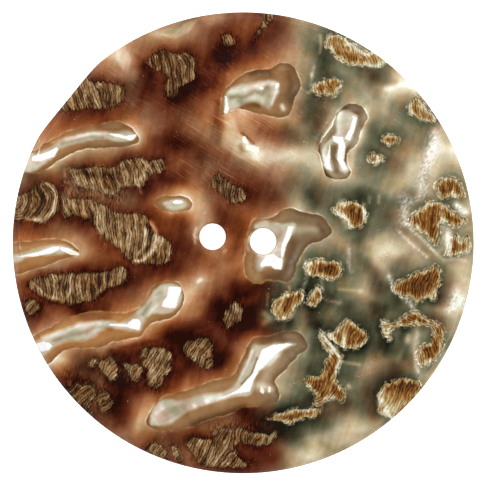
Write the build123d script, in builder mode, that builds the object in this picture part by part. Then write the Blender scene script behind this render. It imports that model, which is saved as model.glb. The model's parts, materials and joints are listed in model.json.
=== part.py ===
from build123d import *
import os
from math import exp, hypot

# A large two-hole sew-through button turned from natural shell.
# Frame: origin at the centre of the flat back, +Z out of the coloured front,
# +X along the line from the first sewing hole to the second.

# ---- Driving sizes (mm) ----
DIAMETER = 38.0
FACE = 3.4               # mean height of the polished front
WAVE = 0.16              # how far the polished front swells or dips
REACH = 1.8              # how far a swell or a dip spreads from its outline
EDGE_DROP = 0.35         # how much lower the front is at the rim
BEVEL_START = 2.6       # height where the bevel round the front begins
BEVEL = 1.0              # rise and run of the bevel, before the front cuts it off
EDGE_ROUND = 0.35        # rounding of the back corner and of the bevel's foot
NACRE_TOP = 1.8          # mother-of-pearl below, amber layer above
AMBER_TOP = 2.2          # amber layer below, coloured layer above
POCKET_FLOOR = 2.4      # bottom of the hollows that hold the crust
CRUST_DROP = 0.15        # crust lies this far below the polished front
ABOVE_ALL = 4.5          # a height clear of the whole button

HOLE_RADIUS = 1.09
HOLE_PITCH = 4.18
PAIR_CENTRE = (-0.47, 0.27)
HOLES = [(PAIR_CENTRE[0] + side * HOLE_PITCH / 2, PAIR_CENTRE[1]) for side in (-1, 1)]

FLAT_ANGLE = 146         # direction of the shallow flat ground on the rim
FLAT_DEPTH = 0.33
GRID_STEP = 2.0          # spacing of the points that shape the front

# ---- Windows: where the front is ground through to the mother-of-pearl ----
# Each has the edge of the amber band and the edge of the nacre inside it.
AMBER_EDGES = {
    "top": [
        (-2.7, 12.2), (-1.8, 13.4), (0.0, 14.3), (1.0, 14.4), (1.5, 14.9), (2.5, 15.0), (3.2, 14.2),
        (3.5, 13.3), (3.1, 12.0), (2.7, 10.7), (1.1, 10.6), (-0.7, 10.9), (-2.1, 10.8),
        (-2.7, 10.3),
    ],
    "upper_left": [
        (-18.6, 5.6), (-17.0, 6.5), (-15.3, 7.7), (-13.3, 8.5), (-11.0, 8.95), (-9.8, 8.4),
        (-9.3, 7.7), (-10.3, 7.1), (-12.3, 6.7), (-14.3, 6.3), (-15.5, 5.6), (-16.5, 4.7),
        (-18.0, 4.1), (-19.4, 3.9),
    ],
    "left": [
        (-19.8, -1.8), (-18.2, -1.6), (-16.6, -1.3), (-14.8, -1.1), (-13.7, -1.5), (-13.4, -2.0),
        (-14.5, -2.6), (-15.8, -3.3), (-17.5, -3.9), (-19.6, -4.4),
    ],
    "lower_left": [
        (-17.2, -9.5), (-15.8, -8.7), (-14.4, -7.8), (-13.2, -7.2), (-11.2, -6.7), (-8.9, -6.6),
        (-7.8, -5.7), (-7.1, -4.3), (-5.6, -3.6), (-4.7, -4.1), (-4.7, -6.0), (-6.3, -7.0),
        (-7.2, -7.5), (-7.6, -8.3), (-9.4, -8.85), (-11.3, -9.7), (-14.0, -10.3), (-15.7, -11.6),
    ],
    "left_of_holes": [
        (-7.5, 2.6), (-6.9, 3.2), (-5.7, 3.4), (-4.6, 3.1), (-4.4, 2.5), (-5.3, 2.1), (-6.9, 2.0),
    ],
    "second_hole": [
        (0.9, 1.95), (2.5, 2.7), (3.3, 3.15), (4.7, 3.0), (6.3, 2.65), (7.15, 1.7), (6.6, 0.85),
        (5.3, 0.1), (4.6, -1.0), (4.5, -2.1), (3.5, -2.9), (2.4, -2.75), (1.4, -3.3), (0.2, -2.2),
        (0.25, -1.1), (0.25, 0.3), (0.5, 1.2),
    ],
    "right": [
        (6.6, 10.9), (7.3, 11.9), (8.4, 12.15), (9.25, 11.4), (8.9, 10.2), (8.6, 9.0), (8.0, 8.3),
        (7.95, 7.2), (8.3, 6.5), (6.7, 5.9), (5.9, 7.0), (5.5, 8.5), (6.1, 9.8),
    ],
    "bottom": [
        (1.7, -7.7), (3.0, -7.35), (4.1, -7.05), (5.5, -7.2), (6.05, -8.1), (5.2, -9.0),
        (4.5, -10.0), (3.7, -11.3), (4.1, -12.3), (2.3, -13.3), (0.3, -14.0), (-1.6, -14.8),
        (-3.0, -15.5), (-5.2, -15.95), (-6.6, -15.5), (-6.2, -14.3), (-5.4, -13.3), (-3.6, -12.55),
        (-1.7, -11.6), (0.0, -11.0), (0.7, -9.6), (1.1, -8.5),
    ],
}
NACRE_EDGES = {
    "top": [
        (-2.55, 11.9), (-2.0, 12.7), (-0.5, 13.1), (1.1, 13.55), (1.8, 13.2), (1.5, 11.9),
        (1.0, 11.15), (0.1, 11.6), (-1.2, 11.2), (-2.4, 10.8),
    ],
    "upper_left": [
        (-19.2, 5.7), (-17.0, 6.1), (-15.3, 7.2), (-13.0, 7.95), (-11.0, 8.2), (-9.7, 8.05),
        (-10.2, 7.5), (-12.0, 7.45), (-14.3, 6.9), (-15.8, 6.2), (-16.6, 5.2), (-19.3, 4.8),
    ],
    "left": [
        (-20.0, -2.7), (-18.0, -2.5), (-16.7, -2.0), (-15.2, -1.6), (-13.9, -1.8), (-14.4, -2.2),
        (-16.0, -2.5), (-17.8, -2.9), (-20.0, -3.3),
    ],
    "lower_left": [
        (-16.9, -9.9), (-15.0, -8.9), (-13.0, -7.85), (-11.2, -7.45), (-8.9, -7.2), (-8.1, -6.3),
        (-7.4, -5.5), (-6.8, -4.4), (-5.8, -3.95), (-4.9, -4.1), (-5.0, -5.9), (-6.2, -6.4),
        (-7.3, -6.7), (-7.8, -7.9), (-9.6, -8.0), (-10.8, -8.2), (-12.0, -9.0), (-13.8, -9.4),
        (-15.2, -10.5), (-16.6, -11.0),
    ],
    "left_of_holes": [
        (-6.9, 2.65), (-6.2, 3.0), (-5.3, 3.05), (-4.9, 2.65), (-5.5, 2.35), (-6.5, 2.3),
    ],
    "second_hole": [
        (0.9, 1.7), (1.4, 2.0), (2.6, 1.9), (4.2, 1.75), (3.95, 0.9), (3.5, 0.1), (3.4, -0.8),
        (3.4, -1.9), (2.6, -1.85), (2.1, -1.85), (1.4, -2.25), (1.1, -1.7), (1.25, -0.6),
        (1.6, 0.3), (1.2, 1.0),
    ],
    "right": [
        (6.85, 11.3), (7.6, 11.6), (8.4, 11.3), (8.3, 10.2), (8.1, 9.3), (7.6, 8.4), (7.7, 7.2),
        (8.1, 6.65), (7.5, 6.5), (7.3, 7.2), (7.0, 7.7), (7.0, 8.75), (6.65, 8.8), (6.55, 7.4),
        (6.8, 6.5), (6.2, 6.7), (5.8, 7.8), (6.1, 8.9), (6.8, 9.8),
    ],
    "bottom": [
        (1.9, -8.2), (3.0, -8.1), (4.1, -7.85), (5.1, -7.95), (4.0, -8.5), (3.5, -9.4),
        (2.5, -10.2), (1.95, -11.1), (1.8, -12.2), (0.2, -12.75), (-1.8, -13.5), (-3.6, -14.5),
        (-4.6, -15.3), (-6.3, -15.55), (-6.1, -14.3), (-5.5, -13.6), (-3.7, -13.4), (-2.3, -12.8),
        (-0.7, -12.45), (0.3, -11.8), (0.9, -10.3), (1.4, -8.9),
    ],
}

# ---- Crust: patches of the rough outside of the shell left in the hollows ----
CRUST_EDGES = {
    "hook_upper_left": [
        (-9.3, 14.3), (-8.7, 15.0), (-7.2, 15.1), (-5.4, 14.9), (-5.1, 13.9), (-5.8, 12.5),
        (-6.5, 12.2), (-6.7, 11.3), (-7.3, 11.5), (-7.5, 13.0), (-8.3, 13.5), (-9.1, 13.8),
    ],
    "rim_upper_left": [
        (-16.9, 9.6), (-15.0, 9.5), (-13.6, 9.8), (-12.1, 10.0), (-11.0, 10.8), (-11.0, 11.9),
        (-12.7, 12.2), (-14.2, 12.4), (-15.5, 12.5),
    ],
    "bar_left": [
        (-14.6, 4.9), (-12.8, 5.1), (-10.8, 5.5), (-9.2, 6.35), (-8.0, 6.1), (-7.0, 6.3),
        (-7.0, 5.4), (-8.1, 4.9), (-8.5, 4.1), (-10.0, 3.7), (-10.8, 2.9), (-12.2, 3.2),
        (-14.1, 3.6),
    ],
    "rim_left": [
        (-20.0, 0.6), (-19.6, 2.0), (-18.2, 2.4), (-17.2, 3.45), (-16.2, 3.5), (-15.4, 2.3),
        (-15.6, 1.0), (-16.7, 0.05), (-18.0, 0.3),
    ],
    "diagonal_left": [
        (-15.1, 3.3), (-14.5, 2.3), (-13.3, 2.5), (-11.7, 2.0), (-9.6, 1.5), (-8.3, 1.5),
        (-7.3, 0.1), (-6.4, -0.1), (-5.7, -1.2), (-6.1, -2.2), (-7.3, -2.4), (-8.7, -2.4),
        (-9.7, -1.9), (-10.6, -1.2), (-12.0, -0.2), (-13.1, 0.8), (-15.0, 0.8), (-15.2, 2.0),
    ],
    "bar_lower_left": [
        (-17.3, -4.7), (-16.5, -4.3), (-14.2, -3.9), (-12.2, -3.5), (-10.3, -2.95), (-9.5, -2.8),
        (-9.4, -4.0), (-10.6, -4.8), (-11.8, -5.7), (-14.5, -6.3), (-16.2, -5.8),
    ],
    "fleck_left": [(-17.4, -6.4), (-16.6, -6.2), (-16.3, -7.0), (-17.0, -7.5), (-17.5, -6.9)],
    "spot_above_holes": [
        (-3.0, 4.8), (-2.6, 5.5), (-1.8, 4.9), (-0.5, 4.4), (0.0, 3.9), (-0.4, 3.4), (-1.8, 3.55),
        (-2.5, 4.2),
    ],
    "spot_below_holes": [
        (-0.4, -4.7), (0.0, -5.0), (0.4, -5.8), (0.3, -6.5), (-0.3, -6.9), (-0.7, -7.1),
        (-1.0, -5.9), (-0.6, -5.2),
    ],
    "spot_lower_middle": [
        (-4.2, -8.7), (-3.0, -8.1), (-1.9, -8.2), (-1.7, -9.3), (-1.5, -10.2), (-2.3, -10.45),
        (-3.6, -9.9), (-4.15, -9.1),
    ],
    "block_lower_left": [
        (-7.6, -10.0), (-7.3, -9.2), (-6.3, -9.25), (-5.0, -9.6), (-5.0, -10.4), (-4.85, -10.9),
        (-5.4, -11.4), (-5.7, -12.2), (-6.7, -12.4), (-7.05, -11.2), (-7.4, -10.6),
    ],
    "chain_lower_left_1": [
        (-9.0, -10.9), (-8.4, -10.8), (-7.7, -10.75), (-7.3, -11.5), (-7.6, -12.15), (-8.3, -11.9),
        (-8.6, -11.3),
    ],
    "chain_lower_left_2": [
        (-10.8, -10.7), (-9.7, -10.6), (-9.3, -11.5), (-9.6, -12.3), (-10.3, -11.8),
        (-10.85, -11.3),
    ],
    "chain_lower_left_3": [
        (-11.8, -10.8), (-11.3, -10.65), (-11.0, -10.9), (-11.3, -11.35), (-11.7, -11.2),
    ],
    "rim_lower_left": [
        (-14.0, -13.3), (-12.9, -12.85), (-11.6, -12.8), (-11.0, -13.6), (-11.3, -14.4),
        (-11.0, -15.2), (-11.4, -15.9), (-13.4, -14.7),
    ],
    "spot_lower_left": [
        (-10.7, -13.3), (-10.2, -13.1), (-9.6, -13.9), (-9.7, -14.7), (-10.1, -14.95),
        (-10.75, -14.2),
    ],
    "rim_bottom_1": [
        (-6.3, -17.3), (-6.0, -17.1), (-5.0, -17.3), (-4.6, -18.1), (-5.6, -18.9), (-6.6, -18.6),
    ],
    "rim_bottom_2": [
        (-4.35, -17.1), (-3.9, -17.1), (-3.5, -18.0), (-3.4, -18.5), (-3.9, -18.3), (-4.25, -17.7),
    ],
    "rim_bottom_3": [
        (-3.0, -16.8), (-2.2, -16.4), (-1.1, -16.3), (-1.0, -15.7), (-0.3, -15.3), (1.2, -15.15),
        (2.3, -15.5), (3.4, -15.5), (4.2, -15.4), (4.1, -15.9), (2.5, -16.5), (1.0, -16.7),
        (1.1, -17.6), (2.0, -18.3), (1.0, -18.55), (-0.5, -18.6), (-1.7, -18.6), (-2.5, -17.9),
    ],
    "fleck_top": [(-3.3, 16.4), (-2.7, 17.05), (-2.2, 16.7), (-2.4, 16.0), (-3.0, 16.0)],
    "sliver_top_rim": [
        (0.85, 19.5), (0.4, 18.0), (-0.65, 16.7), (-0.25, 18.0), (0.05, 19.5),
    ],
    "rim_upper_right": [
        (5.2, 17.0), (5.5, 17.8), (6.7, 17.7), (8.0, 16.75), (10.4, 16.0), (9.9, 15.5),
        (8.5, 15.35), (7.0, 15.6), (5.8, 16.3),
    ],
    "spot_upper_right": [(4.5, 13.1), (5.4, 13.95), (6.7, 14.0), (6.7, 13.0), (5.6, 12.7)],
    "rim_right_upper": [
        (12.5, 12.4), (12.8, 13.1), (14.2, 12.3), (15.0, 11.4), (14.2, 11.4), (12.9, 11.7),
    ],
    "fleck_right_1": [(10.7, 9.6), (11.4, 10.0), (12.1, 9.7), (11.7, 9.2), (11.0, 9.25)],
    "fleck_right_2": [(9.7, 8.1), (10.3, 8.3), (10.9, 7.9), (10.5, 7.45), (9.8, 7.4)],
    "spot_right": [(7.1, 3.7), (7.7, 4.2), (9.0, 4.2), (9.95, 3.5), (9.8, 2.6), (8.7, 2.1), (7.6, 3.1)],
    "lobe_right": [
        (15.4, 6.2), (17.0, 6.8), (17.6, 6.1), (17.6, 5.3), (17.0, 5.4), (15.8, 5.1), (15.5, 5.7),
    ],
    "wedge_right": [
        (13.4, 3.3), (14.4, 4.3), (15.4, 4.95), (16.6, 4.3), (18.1, 3.35), (17.2, 2.95),
        (16.2, 3.3), (16.0, 2.0), (15.8, 1.4), (14.7, 2.3), (13.7, 2.8),
    ],
    "rim_right": [
        (16.6, 0.6), (16.9, 1.4), (17.4, 2.3), (17.8, 1.8), (18.3, 2.4), (18.65, 1.9), (18.2, 0.8),
        (17.3, 0.5),
    ],
    "wedge_right_lower": [
        (12.6, -2.6), (13.1, -2.0), (14.2, -1.25), (15.3, -0.8), (15.9, -0.4), (16.4, -1.0),
        (16.4, -2.4), (16.0, -3.2), (15.2, -3.3), (14.8, -3.7), (14.2, -3.3), (12.9, -2.95),
    ],
    "arch_right": [
        (12.1, -5.3), (12.8, -5.35), (13.8, -4.8), (14.8, -4.4), (15.3, -4.75), (16.5, -5.0),
        (17.2, -6.0), (17.15, -7.3), (16.5, -8.2), (15.8, -8.65), (15.2, -8.3), (15.4, -7.3),
        (16.1, -6.6), (16.2, -5.7), (14.7, -5.35), (13.4, -5.8), (12.8, -6.1), (12.9, -7.1),
        (12.3, -6.6),
    ],
    "block_right": [
        (7.4, -6.9), (8.4, -6.2), (9.2, -5.55), (10.2, -6.0), (11.0, -6.9), (10.3, -7.7),
        (9.4, -8.0), (8.3, -7.5),
    ],
    "pair_right": [
        (5.2, -1.7), (5.7, -0.95), (6.7, -0.75), (7.7, -0.75), (8.35, -1.4), (8.0, -2.1),
        (7.1, -2.3), (6.2, -2.3), (5.6, -2.1),
    ],
    "round_right": [
        (5.6, -4.0), (6.1, -3.4), (6.3, -3.0), (6.8, -3.6), (6.85, -4.2), (6.4, -4.75), (5.8, -4.6),
    ],
    "block_middle": [
        (3.1, -4.2), (3.8, -3.85), (4.7, -3.45), (5.3, -3.5), (5.3, -4.3), (4.8, -4.9), (4.5, -5.7),
        (3.8, -6.0), (3.1, -5.6),
    ],
    "strip_right": [
        (6.95, -6.6), (7.6, -7.2), (8.5, -8.05), (9.0, -9.1), (8.7, -10.1), (8.9, -10.9),
        (9.5, -11.6), (9.4, -12.25), (8.7, -12.2), (7.9, -12.45), (7.7, -12.85), (7.1, -12.75),
        (7.1, -12.0), (6.5, -11.4), (6.1, -10.9), (6.6, -10.3), (7.25, -10.3), (7.7, -9.2),
        (7.9, -8.3), (7.05, -7.4),
    ],
    "chain_lower_right": [
        (3.35, -14.2), (4.2, -13.7), (5.1, -13.3), (6.1, -13.15), (6.9, -13.05), (7.6, -13.1),
        (7.4, -13.7), (6.3, -13.9), (5.3, -14.4), (4.2, -14.5),
    ],
    "rim_lower_right": [
        (12.15, -12.0), (12.5, -10.7), (13.1, -10.3), (14.8, -9.9), (15.4, -10.2), (15.8, -11.3),
        (14.4, -13.2), (13.0, -13.1), (12.3, -12.8),
    ],
}


def nearness(x, y, edges):
    """1 on the nearest of the outlines, fading to 0 a few millimetres away."""
    gap = min(hypot(x - px, y - py) for edge in edges.values() for px, py in edge)
    return exp(-(gap / REACH) ** 2)


def face_height(x, y):
    """Height of the polished front, high at the windows and low at the crust."""
    swell = WAVE * (nearness(x, y, AMBER_EDGES) - nearness(x, y, CRUST_EDGES))
    return FACE + swell - EDGE_DROP * (hypot(x, y) / (DIAMETER / 2)) ** 4


def upright(edges, bottom, top):
    """Upright solids, one inside each of the smooth closed outlines."""
    with BuildPart() as solids:
        for points in edges.values():
            with BuildSketch(Plane.XY.offset(bottom)):
                with BuildLine():
                    Spline(*points, periodic=True)
                make_face()
            extrude(amount=top - bottom)
    return solids.part


def plate(bottom, top):
    """Round plate wider than the button, for the blank to trim."""
    with BuildPart() as disc:
        with BuildSketch(Plane.XY.offset(bottom)):
            Circle(DIAMETER)
        extrude(amount=top - bottom)
    return disc.part


def sewing_holes():
    """Both sewing holes, cut straight through the part being built."""
    with Locations(*[(x, y, 0) for x, y in HOLES]):
        Cylinder(HOLE_RADIUS, ABOVE_ALL, align=(Align.CENTER, Align.CENTER, Align.MIN), mode=Mode.SUBTRACT)


# ---- The ground and polished blank: a disc under a gently wavy front ----
half_grid = int(DIAMETER / 2 / GRID_STEP) + 1
grid = [GRID_STEP * step for step in range(-half_grid, half_grid + 1)]
front_points = [[Vector(x, y, face_height(x, y)) for y in grid] for x in grid]
front = Face.make_surface_from_array_of_points(front_points)
below_front = Solid.extrude(front, Vector(0, 0, -ABOVE_ALL))

with BuildPart() as disc:
    radius = DIAMETER / 2
    with BuildSketch(Plane.XZ):
        with BuildLine():
            Polyline((0, 0), (radius, 0), (radius, BEVEL_START), (radius - BEVEL, BEVEL_START + BEVEL),
                     (0, BEVEL_START + BEVEL), close=True)
        profile = make_face()
        fillet(profile.vertices().sort_by(Axis.X)[-2:], EDGE_ROUND)
    revolve(axis=Axis.Z)
    with BuildSketch(Plane.XY):
        with Locations(Rot(0, 0, FLAT_ANGLE) * Pos(radius - FLAT_DEPTH, 0)):
            Rectangle(DIAMETER, DIAMETER, align=(Align.MIN, Align.CENTER))
    extrude(amount=ABOVE_ALL, mode=Mode.SUBTRACT)

with BuildPart() as blank:
    add(disc.part)
    add(below_front, mode=Mode.INTERSECT)
    sewing_holes()

windows = upright(AMBER_EDGES, NACRE_TOP, ABOVE_ALL)
nacre_hills = upright(NACRE_EDGES, NACRE_TOP, ABOVE_ALL)
pockets = upright(CRUST_EDGES, POCKET_FLOOR, ABOVE_ALL)

os.makedirs("parts", exist_ok=True)

# ---- Mother-of-pearl body: the whole back, rising through the windows ----
with BuildPart() as nacre_body:
    add(plate(0, NACRE_TOP))
    add(nacre_hills)
    add(blank.part, mode=Mode.INTERSECT)
nacre_body.part.label = "nacre_body"
export_step(nacre_body.part, "parts/nacre_body.step")

# ---- Amber layer: a thin sheet under the colour, showing as a band round each window ----
with BuildPart() as amber_layer:
    add(plate(NACRE_TOP, AMBER_TOP))
    add(windows)
    add(nacre_hills, mode=Mode.SUBTRACT)
    add(blank.part, mode=Mode.INTERSECT)
amber_layer.part.label = "amber_layer"
export_step(amber_layer.part, "parts/amber_layer.step")

# ---- Outer layer: the coloured front, open at the windows and hollowed for the crust ----
with BuildPart() as outer_layer:
    add(plate(AMBER_TOP, ABOVE_ALL))
    add(windows, mode=Mode.SUBTRACT)
    add(nacre_hills, mode=Mode.SUBTRACT)
    add(pockets, mode=Mode.SUBTRACT)
    add(blank.part, mode=Mode.INTERSECT)
outer_layer.part.label = "outer_layer"
export_step(outer_layer.part, "parts/outer_layer.step")

# ---- Crust patches: each fills its pocket to just below the polished front ----
with BuildPart() as sunk_blank:
    add(disc.part)
    add(Pos(0, 0, -CRUST_DROP) * below_front, mode=Mode.INTERSECT)
for place, points in CRUST_EDGES.items():
    with BuildPart() as crust:
        add(upright({place: points}, POCKET_FLOOR, ABOVE_ALL))
        add(sunk_blank.part, mode=Mode.INTERSECT)
    crust.part.label = f"crust_{place}"
    export_step(crust.part, f"parts/crust_{place}.step")
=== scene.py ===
"""Looks of a large two-hole sew-through button cut from natural shell.

The front is a polished slice through wavy shell layers. Mother-of-pearl shows in
windows, an amber layer rings each window, the coloured layer covers the rest, and
patches of the rough outer crust are left in its hollows. Sizes are in millimetres in
the row frame until a mesh is made.
"""

import json
import math

import bmesh
import bpy
import numpy as np
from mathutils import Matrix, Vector, geometry, kdtree, noise


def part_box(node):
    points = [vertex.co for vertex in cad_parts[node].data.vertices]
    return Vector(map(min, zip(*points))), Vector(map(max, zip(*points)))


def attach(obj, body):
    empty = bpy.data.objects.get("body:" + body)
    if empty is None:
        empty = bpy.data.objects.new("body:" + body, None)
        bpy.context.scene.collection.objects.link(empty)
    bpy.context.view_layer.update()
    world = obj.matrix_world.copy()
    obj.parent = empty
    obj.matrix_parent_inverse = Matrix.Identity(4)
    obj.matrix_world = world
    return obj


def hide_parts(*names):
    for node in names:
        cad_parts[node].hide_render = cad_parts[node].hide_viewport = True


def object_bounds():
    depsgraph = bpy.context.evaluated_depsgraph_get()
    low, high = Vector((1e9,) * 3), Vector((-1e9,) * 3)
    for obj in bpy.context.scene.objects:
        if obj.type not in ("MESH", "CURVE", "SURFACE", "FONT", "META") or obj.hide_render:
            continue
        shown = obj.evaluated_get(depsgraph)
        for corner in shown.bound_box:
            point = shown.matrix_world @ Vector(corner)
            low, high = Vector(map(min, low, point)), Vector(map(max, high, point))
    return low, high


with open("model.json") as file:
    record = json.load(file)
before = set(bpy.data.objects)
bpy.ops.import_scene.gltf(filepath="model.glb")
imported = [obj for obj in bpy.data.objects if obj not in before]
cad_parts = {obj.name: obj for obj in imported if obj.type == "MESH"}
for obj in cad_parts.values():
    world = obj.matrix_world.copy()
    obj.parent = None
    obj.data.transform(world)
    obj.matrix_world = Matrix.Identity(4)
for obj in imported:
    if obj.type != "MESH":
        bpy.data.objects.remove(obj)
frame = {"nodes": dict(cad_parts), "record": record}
cad_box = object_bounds()

# ---- Sizes (mm) ----
METRES = 0.001
RIM_SPARE, TOP_SPARE = 0.002, 0.01
RADIUS = (cad_box[1].x - cad_box[0].x) / 2 / METRES - RIM_SPARE
TOP_LIMIT = cad_box[1].z / METRES - TOP_SPARE
HOLES = [
    (mount["pos_m"][0] / METRES, mount["pos_m"][1] / METRES, mount["dims"]["r_mm"])
    for mount in frame["record"]["mounts"]
    if mount["kind"] == "bore"
]
NACRE_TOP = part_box("amber_layer")[0].z / METRES
AMBER_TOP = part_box("outer_layer")[0].z / METRES
POCKET_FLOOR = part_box("crust_fleck_top")[0].z / METRES
FLAT_ANGLE = math.radians(146)
FLAT_DISTANCE = RADIUS - 0.33
FLAT_BLEND = 0.07
BEVEL_START, BEVEL_BLEND = 2.6, 0.04
BACK_ROUND, HOLE_ROUND = 0.3, 0.12
FLOOR_GAP = 0.02

# The polished front's height, how it rises towards and within the windows, and how it sinks
# towards the crust, the rim and the holes. A stroke of strength 1 lifts or lowers it as said.
FACE = 3.3
HILL, HILL_REACH = 0.12, 1.5
BULGE, BULGE_WIDTH = 0.10, 0.9
HOLLOW, HOLLOW_REACH = 0.10, 1.3
EDGE_DROP, HOLE_DROP = 0.35, 0.12
RIDGE_RISE, DIP_FALL = 0.03, 0.02

# The crust lies below the front, lower at its edge, in leaves that stand up in turn.
CRUST_SINK, CRUST_EDGE_SINK, CRUST_EDGE_REACH = 0.07, 0.07, 0.14
CRUST_LEAST = 0.04
LAMELLA_PITCH, LAMELLA_HEIGHT, LAMELLA_MIDDLE, LAMELLA_RISE = 0.24, 0.12, 0.6, 0.7

# Noise on the front and the crust: (size, wavelength in mm, seed).
FACE_WAVES = [(0.03, 4.0, 6.6), (0.008, 1.1, 4.4)]
CRUST_WAVES = [(0.10, 1.2, 16.0)]
LEAF_WAVES = [(0.40, 1.9, 11.0), (0.12, 0.7, 12.0)]

# Spacing of the points that shape each region, the rim, the holes and the back.
OUTER_STEP, WINDOW_STEP, CRUST_STEP = 0.17, 0.11, 0.075
GRID_CLEARANCE, RIM_MARGIN, HOLE_MARGIN = 0.45, 0.05, 0.04
BACK_STEP = 1.6
RIM_POINTS = 720
RIM_RINGS = (0.0, 0.12, 0.24, 0.36, 0.48, 0.60, 0.75)
HOLE_POINTS = 64
HOLE_RINGS = (0.0, 0.05, 0.11, 0.19)

# Labels of the regions of the front. Crust patches follow, in the order of their names.
EMPTY, NACRE, AMBER, OUTER, CRUST = 0, 1, 2, 3, 4
CRUST_NODES = sorted(name for name in frame["nodes"] if name.startswith("crust_"))

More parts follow.
